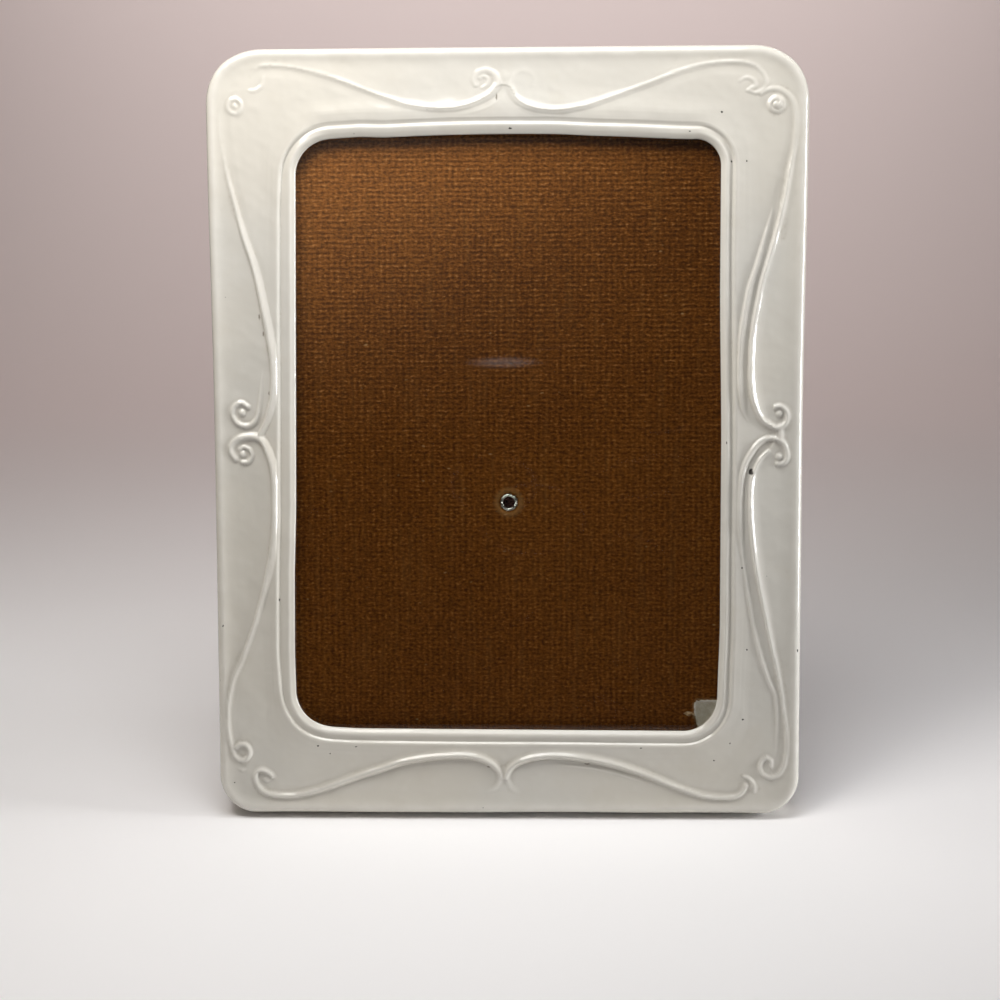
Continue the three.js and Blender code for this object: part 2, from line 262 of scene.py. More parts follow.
def make(name, shape, place, body, nodes, material, sharp=35.0, extra=None, loc=None):
    v, f = shape
    v = same(v)
    world = to_world(place(v))
    me = bpy.data.meshes.new(name)
    me.from_pydata(world.tolist(), [], f)
    me.validate(clean_customdata=False)
    me.update()
    at = me.attributes.new("loc", "FLOAT_VECTOR", "POINT")
    at.data.foreach_set("vector", np.ascontiguousarray(v if loc is None else loc, dtype=np.float32).ravel())
    for key, values in (extra or {}).items():
        at = me.attributes.new(key, "FLOAT", "POINT")
        at.data.foreach_set("value", np.ascontiguousarray(values, dtype=np.float32))
    me.shade_smooth()
    if sharp:
        me.set_sharp_from_angle(angle=math.radians(sharp))
    me.materials.append(material)
    ob = bpy.data.objects.new(name, me)
    bpy.context.scene.collection.objects.link(ob)
    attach(ob, body)
    if nodes:
        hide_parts(*nodes)
    return ob


def boolean(shape, tool, operation):
    """Cut or join two closed shapes and give the result back as one shape."""
    obs = []
    for k, (v, f) in enumerate((shape, tool)):
        me = bpy.data.meshes.new("bool_%d" % k)
        me.from_pydata(same(v).tolist(), [], f)
        me.update()
        ob = bpy.data.objects.new("bool_%d" % k, me)
        bpy.context.scene.collection.objects.link(ob)
        obs.append(ob)
    mod = obs[0].modifiers.new("cut", "BOOLEAN")
    mod.operation, mod.solver, mod.object = operation, "EXACT", obs[1]
    dg = bpy.context.evaluated_depsgraph_get()
    res = bpy.data.meshes.new_from_object(obs[0].evaluated_get(dg))
    v = np.array([x.co[:] for x in res.vertices])
    f = [tuple(p.vertices) for p in res.polygons]
    for ob in obs:
        me = ob.data
        bpy.data.objects.remove(ob)
        bpy.data.meshes.remove(me)
    bpy.data.meshes.remove(res)
    return v, f


# ----------------------------------------------------------------------------
# Material helpers
# ----------------------------------------------------------------------------
class Mat:
    def __init__(self, name):
        self.m = bpy.data.materials.new(name)
        self.m.use_nodes = True
        self.t = self.m.node_tree
        self.t.nodes.clear()
        self.out = self.add("ShaderNodeOutputMaterial")

    def add(self, kind, props=None, **inputs):
        n = self.t.nodes.new(kind)
        for k, v in (props or {}).items():
            setattr(n, k, v)
        for k, v in inputs.items():
            self.put(n, k.replace("_", " "), v)
        return n

    def put(self, n, key, v):
        sock = n.inputs[key] if isinstance(key, int) else n.inputs[key]
        if isinstance(v, bpy.types.NodeSocket):
            self.t.links.new(v, sock)
        else:
            sock.default_value = v

    def attr(self, name):
        return self.add("ShaderNodeAttribute", {"attribute_name": name})

    def noise(self, vec, scale, detail=2.0, rough=0.5, distortion=0.0):
        n = self.add("ShaderNodeTexNoise")
        self.put(n, "Vector", vec)
        n.inputs["Scale"].default_value = scale
        n.inputs["Detail"].default_value = detail
        n.inputs["Roughness"].default_value = rough
        n.inputs["Distortion"].default_value = distortion
        return n.outputs[0]

    def stretch(self, vec, scale, shift=(0, 0, 0), turn=(0, 0, 0)):
        n = self.add("ShaderNodeMapping")
        self.put(n, "Vector", vec)
        n.inputs["Location"].default_value = shift
        n.inputs["Rotation"].default_value = turn
        n.inputs["Scale"].default_value = scale
        return n.outputs[0]

    def ramp(self, x, a, b, lo=0.0, hi=1.0, smooth_it=True):
        n = self.add("ShaderNodeMapRange")
        n.interpolation_type = "SMOOTHSTEP" if smooth_it else "LINEAR"
        n.clamp = True
        self.put(n, "Value", x)
        n.inputs["From Min"].default_value = a
        n.inputs["From Max"].default_value = b
        n.inputs["To Min"].default_value = lo
        n.inputs["To Max"].default_value = hi
        return n.outputs[0]

    def math(self, op, a, b=None, c=None):
        n = self.add("ShaderNodeMath", {"operation": op})
        self.put(n, 0, a)
        if b is not None:
            self.put(n, 1, b)
        if c is not None:
            self.put(n, 2, c)
        return n.outputs[0]

    def vmath(self, op, a, b=None):
        n = self.add("ShaderNodeVectorMath", {"operation": op})
        self.put(n, 0, a)
        if b is not None:
            self.put(n, 1, b)
        return n.outputs["Value"] if op in ("LENGTH", "DISTANCE", "DOT_PRODUCT") else n.outputs["Vector"]

    def mix(self, fac, a, b, blend="MIX"):
        n = self.add("ShaderNodeMix", {"data_type": "RGBA", "blend_type": blend})
        self.put(n, 0, fac)
        for i, v in ((6, a), (7, b)):
            if not isinstance(v, bpy.types.NodeSocket):
                v = (*v, 1.0)
            self.put(n, i, v)
        return n.outputs[2]

    def split(self, vec):
        n = self.add("ShaderNodeSeparateXYZ")
        self.put(n, 0, vec)
        return n.outputs

    def join3(self, x, y, z):
        n = self.add("ShaderNodeCombineXYZ")
        for i, v in enumerate((x, y, z)):
            self.put(n, i, v)
        return n.outputs[0]

    def bump(self, height, distance_mm, strength=1.0, normal=None):
        n = self.add("ShaderNodeBump")
        n.inputs["Strength"].default_value = strength
        n.inputs["Distance"].default_value = distance_mm / 1000.0
        self.put(n, "Height", height)
        if normal is not None:
            self.put(n, "Normal", normal)
        return n.outputs[0]

    def surface(self, sock):
        self.t.links.new(sock, self.out.inputs["Surface"])
        return self.m


# ----------------------------------------------------------------------------
# Cream enamel
# ----------------------------------------------------------------------------
# Chips and dark specks in the enamel: u, v, half width, half height, in mm
CHIPS = [
    (69.4, -10.4, 0.62, 1.00), (60.4, 90.5, 0.34, 0.24), (63.3, 76.9, 0.24, 0.32), (67.5, 76.9, 0.20, 0.34),
    (68.7, -61.6, 0.24, 0.30), (83.2, -61.8, 0.26, 0.40), (67.7, -81.9, 0.30, 0.24), (59.5, -93.9, 0.30, 0.22),
    (64.0, -88.9, 0.22, 0.26), (-79.8, -100.8, 0.26, 0.22), (-55.2, -89.8, 0.34, 0.20), (-51.7, -92.1, 0.22, 0.20),
    (-44.1, -90.0, 0.30, 0.18), (38.4, -90.2, 0.32, 0.18), (-65.9, -47.1, 0.20, 0.40), (-82.3, -54.6, 0.22, 0.30),
    (62.5, -2.1, 0.20, 0.40), (67.1, -37.9, 0.20, 0.32), (1.1, 86.5, 0.42, 0.24), (51.5, 85.3, 0.30, 0.18),
]
STAINS = [(-70.5, 34.1, 0.26, 0.85), (-69.4, 29.3, 0.24, 0.75), (-68.0, 12.4, 0.2, 0.6), (22.9, -95.0, 0.80, 0.24), (-2.7, 95.2, 0.26, 1.0), (-5.6, -95.9, 0.5, 0.22)]


def enamel_material():
    m = Mat("cream_enamel_thick")
    loc = m.attr("loc").outputs["Vector"]
    crease = m.attr("crease").outputs["Fac"]
    broad = m.noise(loc, 0.016, 2.0, 0.5)
    mid = m.noise(loc, 0.11, 3.0, 0.55)
    fine = m.noise(loc, 0.9, 3.0, 0.6)
    colour = m.mix(m.ramp(broad, 0.35, 0.65), (0.655, 0.622, 0.553), (0.640, 0.618, 0.565))
    colour = m.mix(m.ramp(mid, 0.52, 0.80, 0.0, 0.34), colour, (0.615, 0.573, 0.494))
    # painted highlight: the high lines of the relief are painted paler
    crest_highlight = m.attr("crest_highlight").outputs["Fac"]
    colour = m.mix(m.math("MULTIPLY", crest_highlight, m.ramp(mid, 0.30, 0.65, 0.60, 0.34)), colour, (0.790, 0.765, 0.705))
    # painted shade in the hollows: every crease is painted a little darker, partly settled dirt; then patches of real
    # grime in the deeper creases
    colour = m.mix(m.ramp(crease, 0.30, 1.0, 0.0, 0.20), colour, (0.480, 0.450, 0.385))
    grime = m.math("MULTIPLY", m.ramp(crease, 0.35, 1.0), m.ramp(fine, 0.40, 0.72))
    grime = m.math("MULTIPLY", grime, m.ramp(mid, 0.46, 0.70, 0.02, 0.26))
    colour = m.mix(grime, colour, (0.330, 0.275, 0.200))
    # chips and specks
    ragged = m.add("ShaderNodeTexNoise")
    m.put(ragged, "Vector", loc)
    ragged.inputs["Scale"].default_value = 1.7
    ragged.inputs["Detail"].default_value = 2.0
    off = m.vmath("SUBTRACT", ragged.outputs["Color"], (0.5, 0.5, 0.5))
    off = m.vmath("MULTIPLY", off, (0.55, 0.55, 0.0))
    near = m.vmath("ADD", loc, off)
    spot = None
    for u, v, a, b in CHIPS:
        d = m.vmath("SUBTRACT", near, (u, v, 0.0))
        d = m.vmath("MULTIPLY", d, (1 / a, 1 / b, 0.0))
        s = m.ramp(m.vmath("LENGTH", d), 0.70, 1.15, 1.0, 0.0)
        spot = s if spot is None else m.math("MAXIMUM", spot, s)
    stain = None
    for u, v, a, b in STAINS:
        d = m.vmath("SUBTRACT", near, (u, v, 0.0))
        d = m.vmath("MULTIPLY", d, (1 / a, 1 / b, 0.0))
        s = m.ramp(m.vmath("LENGTH", d), 0.3, 1.4, 0.75, 0.0)
        stain = s if stain is None else m.math("MAXIMUM", stain, s)
    # pin holes, a few to the hand's breadth
    pin = m.add("ShaderNodeTexVoronoi")
    m.put(pin, "Vector", m.vmath("MULTIPLY", loc, (1.0, 1.0, 0.35)))
    pin.inputs["Scale"].default_value = 0.13
    holes = m.ramp(pin.outputs["Distance"], 0.014, 0.026, 1.0, 0.0)
    holes = m.math("MULTIPLY", holes, m.ramp(m.noise(loc, 0.035, 1.0), 0.50, 0.56))
    holes = m.math("MULTIPLY", holes, 0.7)
    colour = m.mix(stain, colour, (0.150, 0.120, 0.085))
    dark = m.math("MAXIMUM", spot, holes)
    colour = m.mix(dark, colour, (0.032, 0.027, 0.022))
    rough = m.ramp(mid, 0.3, 0.75, 0.07, 0.14)
    rough = m.math("ADD", rough, m.math("MULTIPLY", grime, 0.35))
    rough = m.math("ADD", rough, m.math("MULTIPLY", dark, 0.40))
    swell = m.bump(m.noise(loc, 0.30, 1.0), 0.045)
    skin = m.bump(m.noise(loc, 1.6, 2.0), 0.008, 1.0, swell)
    pit = m.bump(m.math("SUBTRACT", 1.0, dark), 0.10, 0.8, skin)
    b = m.add("ShaderNodeBsdfPrincipled")
    m.put(b, "Base Color", colour)
    m.put(b, "Roughness", rough)
    m.put(b, "Normal", pit)
    b.inputs["IOR"].default_value = 1.52
    return m.surface(b.outputs[0])


# ----------------------------------------------------------------------------
# Glass pane
# ----------------------------------------------------------------------------
def glass_material():
    m = Mat("pane_glass_clear")
    loc = m.attr("loc").outputs["Vector"]
    # a few dried wipe marks, faint
    bent = m.vmath("ADD", loc, m.vmath("MULTIPLY", m.vmath("SUBTRACT", m.noise_colour(loc, 0.05), (0.5, 0.5, 0.5)), (22, 22, 0)))
    xyz = m.split(bent)
    streak = m.math("SINE", m.math("MULTIPLY", xyz[1], 0.55))
    film_and_painted_reflection = m.math("MULTIPLY", m.ramp(streak, 0.90, 1.0), m.ramp(m.noise(loc, 0.035, 2.0), 0.58, 0.70))
    dust = m.ramp(m.noise(loc, 3.2, 1.0), 0.72, 0.80)
    dust = m.math("MULTIPLY", dust, 0.20)
    # painted reflections: a grey streak above the rivet and two faint arcs round it
    painted_reflection_arcs = painted_reflection_streak = None
    for u, v, a, b, turn, w0 in ((-0.9, 21.0, 13.0, 2.1, 0.0, 0.9), (-4.0, -14.0, 12.0, 8.0, 0.3, 0.10), (7.0, -24.0, 15.0, 10.0, -0.4, 0.08)):
        d = m.vmath("SUBTRACT", loc, (u, v, 0.0))
        d = m.stretch(d, (1 / a, 1 / b, 0.0), (0, 0, 0), (0, 0, turn))
        r = m.vmath("LENGTH", d)
        if w0 > 0.5:
            painted_reflection_streak = m.math("MULTIPLY", m.ramp(r, 0.10, 1.0, 0.044, 0.0), m.ramp(m.noise(m.stretch(loc, (0.6, 1.6, 1.0)), 0.9, 2.0), 0.30, 0.70, 0.60, 1.0))
            continue
        else:
            s = m.math("MULTIPLY", m.ramp(r, 1.0 - w0, 1.0), m.ramp(r, 1.0, 1.0 + w0, 1.0, 0.0))
            s = m.math("MULTIPLY", s, m.ramp(m.noise(loc, 0.10, 2.0), 0.45, 0.62))
        painted_reflection_arcs = s if painted_reflection_arcs is None else m.math("MAXIMUM", painted_reflection_arcs, s)
    film_and_painted_reflection = m.math("MAXIMUM", m.math("MULTIPLY", film_and_painted_reflection, 0.35), m.math("MULTIPLY", painted_reflection_arcs, 0.75))
    film_and_painted_reflection = m.math("MAXIMUM", film_and_painted_reflection, dust)
    film_and_painted_reflection = m.math("MAXIMUM", m.math("MULTIPLY", film_and_painted_reflection, 0.005), painted_reflection_streak)
    clear = m.add("ShaderNodeBsdfTransparent")
    clear.inputs["Color"].default_value = (0.958, 0.974, 0.946, 1.0)
    gloss = m.add("ShaderNodeBsdfGlossy")
    gloss.inputs["Color"].default_value = (1.0, 1.0, 1.0, 1.0)
    gloss.inputs["Roughness"].default_value = 0.02
    haze = m.add("ShaderNodeBsdfDiffuse")
    haze.inputs["Color"].default_value = (0.80, 0.80, 0.84, 1.0)
    # painted shade: where the corner of the back is gone, the inner face is tinted darker and greener, standing in for
    # the shadowed floor seen through the break
    q = m.split(loc)
    break_shade_mask = m.math("MULTIPLY", m.ramp(q[0], 53.8, 54.8), m.ramp(q[1], -77.3, -76.5, 1.0, 0.0))
    break_shade_mask = m.math("MULTIPLY", break_shade_mask, m.ramp(m.noise(loc, 0.55, 2.0), 0.30, 0.70, 0.70, 1.0))
    break_shade_tint = m.add("ShaderNodeBsdfTransparent")
    break_shade_tint.inputs["Color"].default_value = (0.745, 0.730, 0.630, 1.0)
    through = m.add("ShaderNodeMixShader")
    m.put(through, 0, break_shade_mask)
    m.put(through, 1, clear.outputs[0])
    m.put(through, 2, break_shade_tint.outputs[0])
    # the pane is thin, so both faces shine alike: Schlick's curve on the facing angle
    tilt = m.add("ShaderNodeLayerWeight")
    tilt.inputs["Blend"].default_value = 0.5
    shine = m.math("MULTIPLY_ADD", m.math("POWER", tilt.outputs["Facing"], 5.0), 0.96, 0.04)
    a = m.add("ShaderNodeMixShader")
    m.put(a, 0, shine)
    m.put(a, 1, through.outputs[0])
    m.put(a, 2, gloss.outputs[0])
    b = m.add("ShaderNodeMixShader")
    m.put(b, 0, film_and_painted_reflection)
    m.put(b, 1, a.outputs[0])
    m.put(b, 2, haze.outputs[0])
    return m.surface(b.outputs[0])


def noise_colour(self, vec, scale, detail=1.0):
    n = self.add("ShaderNodeTexNoise")
    self.put(n, "Vector", vec)
    n.inputs["Scale"].default_value = scale
    n.inputs["Detail"].default_value = detail
    return n.outputs["Color"]


Mat.noise_colour = noise_colour


# ----------------------------------------------------------------------------
# Hardboard: screen side forward, smooth side back
# ----------------------------------------------------------------------------
WEAVE_U, WEAVE_V = 1.62, 1.43


def board_material():
    m = Mat("hardboard_screen_side")
    loc = m.attr("loc").outputs["Vector"]
    wob = m.vmath("MULTIPLY", m.vmath("SUBTRACT", m.noise_colour(loc, 0.16, 2.0), (0.5, 0.5, 0.5)), (1.3, 1.0, 0.0))
    wob2 = m.vmath("MULTIPLY", m.vmath("SUBTRACT", m.noise_colour(loc, 0.9, 1.0), (0.5, 0.5, 0.5)), (0.7, 0.45, 0.0))
    p = m.split(m.vmath("ADD", m.vmath("ADD", loc, wob), wob2))
    row = m.math("COSINE", m.math("MULTIPLY", p[1], 2 * math.pi / WEAVE_V))
    col = m.math("COSINE", m.math("MULTIPLY", p[0], 2 * math.pi / WEAVE_U))
    xyz = m.split(loc)
    # the cross threads show most at the top of the sheet, the long ones lower down
    # each thread is broken into short lengths
    dash = m.ramp(m.noise(m.stretch(loc, (0.42, 1.25, 1.0)), 0.85, 2.0, 0.6), 0.32, 0.68, 0.15, 1.85, False)
    post = m.ramp(m.noise(m.stretch(loc, (1.25, 0.42, 1.0), (7, 3, 0)), 0.85, 2.0, 0.6), 0.32, 0.68, 0.15, 1.85, False)
    row = m.math("MULTIPLY", m.math("MULTIPLY", row, dash), m.ramp(xyz[1], -70.0, 70.0, 0.18, 0.44))
    col = m.math("MULTIPLY", m.math("MULTIPLY", col, post), m.ramp(xyz[1], -70.0, 70.0, 0.28, 0.24))
    weave = m.math("ADD", row, col)
    speck = m.noise(m.stretch(loc, (0.70, 1.20, 1.0)), 1.35, 3.0, 0.66)
    relief = m.math("ADD", weave, m.math("MULTIPLY", m.math("SUBTRACT", speck, 0.5), 6.2))
    light = m.ramp(relief, -1.45, 1.60)
    broad = m.noise(loc, 0.022, 3.0, 0.55)
    streak = m.noise(m.stretch(loc, (0.55, 0.045, 1.0)), 0.9, 3.0, 0.6)
    base = m.mix(m.ramp(broad, 0.30, 0.70), (0.190, 0.0580, 0.0070), (0.214, 0.0682, 0.0089))
    deep = m.mix(m.ramp(broad, 0.30, 0.70), (0.056, 0.0150, 0.0013), (0.068, 0.0192, 0.0020))
    colour = m.mix(light, deep, base)
    # painted light: the sheet is painted paler towards its upper left, where more light falls on it
    upper_left_painted_light = m.math("MULTIPLY_ADD", xyz[0], -0.45, xyz[1])
    colour = m.mix(m.ramp(upper_left_painted_light, 30.0, 115.0, 0.0, 0.85), colour, m.mix(light, (0.165, 0.0540, 0.0095), (0.500, 0.178, 0.038)))
    # the proud threads are painted paler: partly rubbed wear, partly painted light that grows towards the upper left
    rubbed_and_painted_light = m.math("MULTIPLY", m.ramp(relief, 0.60, 2.10), m.ramp(upper_left_painted_light, -40.0, 100.0, 0.26, 0.72))
    colour = m.mix(rubbed_and_painted_light, colour, (0.520, 0.245, 0.088))
    colour = m.mix(m.ramp(streak, 0.48, 0.78, 0.0, 0.20), colour, (0.225, 0.098, 0.026))
    # pale fibre flecks
    fle = m.add("ShaderNodeTexVoronoi")
    m.put(fle, "Vector", m.stretch(m.vmath("ADD", loc, wob2), (0.50, 1.0, 1.0)))
    fle.inputs["Scale"].default_value = 0.36
    fleck = m.ramp(fle.outputs["Distance"], 0.045, 0.135, 1.0, 0.0)
    fleck = m.math("MULTIPLY", fleck, m.ramp(m.noise(loc, 0.30, 1.0), 0.56, 0.70))
    colour = m.mix(m.math("MULTIPLY", fleck, 0.55), colour, (0.46, 0.270, 0.125))
    # bruised fibres round the rivet
    d = m.vmath("LENGTH", m.vmath("SUBTRACT", m.vmath("ADD", loc, wob2), (RIVET_U, RIVET_V, 5.4)))
    ring = m.math("MULTIPLY", m.ramp(d, 2.4, 3.2), m.ramp(d, 3.4, 5.0, 1.0, 0.0))
    colour = m.mix(m.math("MULTIPLY", ring, 0.40), colour, (0.33, 0.170, 0.062))
    # raw torn fibre on the break and on the cut edges
    torn = m.attr("torn").outputs["Fac"]
    tear = m.math("MULTIPLY", torn, m.ramp(m.noise(m.stretch(loc, (1.0, 2.2, 2.2)), 1.1, 3.0), 0.25, 0.65))
    colour = m.mix(tear, colour, (0.56, 0.395, 0.235))
    # the back of the sheet is the smooth side
    smooth_side = m.ramp(xyz[2], 2.45, 2.75, 1.0, 0.0)
    scuff = m.noise(m.stretch(loc, (0.9, 0.12, 1.0), (0, 0, 0), (0, 0, 0.5)), 0.8, 4.0, 0.65)
    cloud = m.noise(loc, 0.045, 4.0, 0.6)
    rear = m.mix(m.ramp(cloud, 0.3, 0.7), (0.105, 0.045, 0.016), (0.165, 0.078, 0.030))
    rear = m.mix(m.ramp(scuff, 0.60, 0.82, 0.0, 0.40), rear, (0.28, 0.165, 0.085))
    rear = m.mix(m.ramp(m.noise(loc, 1.6, 2.0), 0.62, 0.72, 0.0, 0.45), rear, (0.050, 0.020, 0.008))
    colour = m.mix(smooth_side, colour, rear)
    h = m.bump(relief, 0.050, 0.9)
    h = m.bump(m.noise(loc, 2.6, 3.0, 0.65), 0.045, 0.8, h)
    b = m.add("ShaderNodeBsdfPrincipled")
    m.put(b, "Base Color", colour)
    m.put(b, "Roughness", m.ramp(m.math("ADD", smooth_side, m.math("MULTIPLY", cloud, 0.5)), 0.0, 1.4, 0.62, 0.40))
    m.put(b, "Normal", h)
    b.inputs["IOR"].default_value = 1.45
    b.inputs["Specular IOR Level"].default_value = 0.06
    return m.surface(b.outputs[0])


def leg_material():
    m = Mat("leg_hardboard_smooth_side")
    loc = m.attr("loc").outputs["Vector"]
    rim = m.attr("rim").outputs["Fac"]
    cloud = m.noise(loc, 0.06, 4.0, 0.6)
    grain = m.noise(m.stretch(loc, (1.2, 0.16, 1.0)), 0.9, 4.0, 0.65)
    pepper = m.noise(loc, 1.8, 2.0)
    colour = m.mix(m.ramp(cloud, 0.3, 0.7), (0.092, 0.040, 0.014), (0.150, 0.070, 0.027))
    colour = m.mix(m.ramp(grain, 0.58, 0.80, 0.0, 0.40), colour, (0.25, 0.140, 0.066))
    colour = m.mix(m.ramp(pepper, 0.62, 0.74, 0.0, 0.50), colour, (0.042, 0.017, 0.007))
    wear = m.math("MULTIPLY", m.ramp(rim, 0.05, 1.0), m.ramp(m.noise(loc, 0.7, 3.0), 0.30, 0.65))
    colour = m.mix(wear, colour, (0.34, 0.215, 0.115))
    h = m.bump(grain, 0.02, 0.7)
    h = m.bump(m.noise(loc, 3.0, 3.0), 0.02, 0.7, h)
    b = m.add("ShaderNodeBsdfPrincipled")
    m.put(b, "Base Color", colour)
    m.put(b, "Roughness", m.ramp(m.math("ADD", cloud, wear), 0.3, 1.6, 0.42, 0.85))
    m.put(b, "Normal", h)
    b.inputs["IOR"].default_value = 1.45
    return m.surface(b.outputs[0])


# ----------------------------------------------------------------------------
# Plated steel
# ----------------------------------------------------------------------------
def zinc_material():
    m = Mat("zinc_plated_sheet")
    loc = m.attr("loc").outputs["Vector"]
    rim = m.attr("rim").outputs["Fac"]
    cloud = m.noise(loc, 0.22, 4.0, 0.6)
    rolled = m.noise(m.stretch(loc, (0.10, 3.2, 1.0)), 1.0, 4.0, 0.7)
    bloom = m.noise(loc, 0.75, 3.0, 0.6)
    colour = m.mix(m.ramp(cloud, 0.30, 0.72), (0.46, 0.455, 0.435), (0.335, 0.330, 0.310))
    colour = m.mix(m.ramp(rolled, 0.45, 0.75, 0.0, 0.45), colour, (0.58, 0.575, 0.555))
    colour = m.mix(m.ramp(bloom, 0.66, 0.80, 0.0, 0.45), colour, (0.30, 0.245, 0.170))
    colour = m.mix(m.math("MULTIPLY", rim, 0.5), colour, (0.66, 0.655, 0.63))
    h = m.bump(rolled, 0.006, 0.8)
    h = m.bump(bloom, 0.02, 0.5, h)
    b = m.add("ShaderNodeBsdfPrincipled")
    m.put(b, "Base Color", colour)
    b.inputs["Metallic"].default_value = 1.0
    m.put(b, "Roughness", m.ramp(m.math("ADD", cloud, m.math("MULTIPLY", bloom, 0.6)), 0.5, 1.1, 0.30, 0.54))
    m.put(b, "Normal", h)
    return m.surface(b.outputs[0])


def bright_material(bore=False):
    m = Mat("bright_plated_steel" + ("_hollow" if bore else ""))
    loc = m.attr("loc").outputs["Vector"]
    turned = m.noise(m.stretch(loc, (1.2, 1.2, 5.0)), 0.8, 3.0, 0.6)
    spot = m.noise(loc, 1.1, 3.0, 0.6)
    colour = m.mix(m.ramp(turned, 0.3, 0.7), (0.60, 0.595, 0.585), (0.72, 0.715, 0.70))
    colour = m.mix(m.ramp(spot, 0.60, 0.76, 0.0, 0.60), colour, (0.255, 0.185, 0.115))
    if bore:
        # painted shade: the inside of the hollow shank is painted a dark brown
        d = m.vmath("MULTIPLY", m.vmath("SUBTRACT", loc, (RIVET_U, RIVET_V, 0.0)), (1.0, 1.0, 0.0))
        inside = m.math("MULTIPLY", m.ramp(m.vmath("LENGTH", d), 1.66, 1.80, 1.0, 0.0), m.ramp(m.split(loc)[2], 1.05, 1.12))
        colour = m.mix(inside, colour, (0.300, 0.150, 0.130))
    b = m.add("ShaderNodeBsdfPrincipled")
    m.put(b, "Base Color", colour)
    b.inputs["Metallic"].default_value = 1.0
    m.put(b, "Roughness", m.ramp(spot, 0.35, 0.75, 0.20, 0.46))
    m.put(b, "Normal", m.bump(turned, 0.008, 0.7))
    return m.surface(b.outputs[0])


ENAMEL = enamel_material()
GLASS = glass_material()
BOARD = board_material()
LEG = leg_material()
ZINC = zinc_material()
BRIGHT = bright_material()
BORE = bright_material(True)

# ----------------------------------------------------------------------------
# The casting
# ----------------------------------------------------------------------------
OUT = {"half": 84.35, "top": 109.45, "bottom": -110.0, "r": (11.0, 15.0, 15.0, 11.0)}       # BR TR TL BL
SIGHT = {"half": 60.45, "top": 84.2, "bottom": -84.7, "r": (10.0, 7.5, 10.0, 11.0)}
REBATE = {"half": 64.05, "top": 88.9, "bottom": -89.4, "r": (0.8, 0.8, 0.8, 0.8)}

SEGMENTS = ("bottom", "br", "right", "tr", "top", "tl", "left", "bl")
DENSE = {"top": [(-1, .08), (.40, .60), (.92, 2)], "bottom": [(-1, .10), (.46, .54), (.90, 2)],
         "right": [(-1, .07), (.43, .60), (.93, 2)], "left": [(-1, .07), (.36, .56), (.93, 2)]}
RUN = {"top": 121.0, "bottom": 122.0, "right": 176.0, "left": 176.0}
FINE, COARSE, CORNER = 0.38, 0.76, 52


def columns():
    seg, t = [], []
    for k, s in enumerate(SEGMENTS):
        if s in RUN:
            f = np.linspace(0, 1, 4001)
            near = np.full_like(f, 9.0)
            for a, b in DENSE[s]:
                near = np.minimum(near, np.maximum(np.maximum(a - f, f - b), 0.0) * RUN[s])
            step = FINE + (COARSE - FINE) * smooth(0.0, 6.0, near)
            cum = np.concatenate([[0], np.cumsum(RUN[s] / 4000.0 / (0.5 * (step[1:] + step[:-1])))])
            n = int(round(cum[-1]))
            tt = np.interp(np.arange(n) / n * cum[-1], cum, f)
        else:
            n = CORNER
            tt = np.arange(n) / n
        seg += [k] * n
        t += list(tt)
    return np.array(seg), np.array(t)


SEG, TT = columns()
NCOL = len(SEG)


def ring(spec, d):
    h, top, bot = spec["half"] + d, spec["top"] + d, spec["bottom"] - d
    br, tr, tl, bl = (r + d for r in spec["r"])
    u, v = np.zeros(NCOL), np.zeros(NCOL)

    def run(k, a, b):
        s = SEG == k
        u[s] = a[0] + (b[0] - a[0]) * TT[s]
        v[s] = a[1] + (b[1] - a[1]) * TT[s]

    def corner(k, c, r, a0):
        s = SEG == k
        a = np.radians(a0 + 90.0 * TT[s])
        u[s] = c[0] + r * np.cos(a)
        v[s] = c[1] + r * np.sin(a)

    run(0, (-h + bl, bot), (h - br, bot))
    corner(1, (h - br, bot + br), br, -90)
    run(2, (h, bot + br), (h, top - tr))
    corner(3, (h - tr, top - tr), tr, 0)
    run(4, (h - tr, top), (-h + tl, top))
    corner(5, (-h + tl, top - tl), tl, 90)
    run(6, (-h, top - tl), (-h, bot + bl))
    corner(7, (-h + bl, bot + bl), bl, 180)
    return u, v


def warp(u, v):
    au = np.abs(u)
    du = np.sign(u) * 0.9 * smooth(0, 95, v) * smooth(66, 82, au)
    du = du + np.where(u < 0, 0.0115 * v * smooth(30, 58, au) * (1 - smooth(64, 80, au)), 0.0)
    dv = (0.9 - 1.7 * np.minimum(1.0, (u / 52.0) ** 2)) * smooth(60, 80, v) * (1 - smooth(88, 104, v))
    low = 0.05 + 0.10 * np.sin(u / 9.5 + 0.6) + 0.12 * np.sin(u / 21.0 - 0.3)
    dv = dv + np.maximum(low, 0.0) * smooth(-102.0, -109.0, v) * (1 - smooth(62, 80, au))
    dv = dv + (0.57 * smooth(-33, -43, u) - 0.30 * smooth(12, 26, u) * (1 - smooth(46, 56, u))) * smooth(60, 80, v) * (1 - smooth(88, 104, v)) * (1 - smooth(60, 72, au))
    dv = dv + (0.42 * np.exp(-((u + 52.0) / 6.0) ** 2) - 0.44 - 0.0062 * u) * smooth(-70, -82, v) * (1 - smooth(-90, -104, v)) * (1 - smooth(60, 76, au))
    edge = smooth(30, 58, au) * (1 - smooth(66, 80, au))
    du = du + np.where(u > 0, 0.62 * smooth(45, -5, v) * smooth(-78, -52, v), -0.15 - 0.42 * smooth(-18, -42, v) * smooth(-78, -60, v)) * edge
    return u + du, v + dv


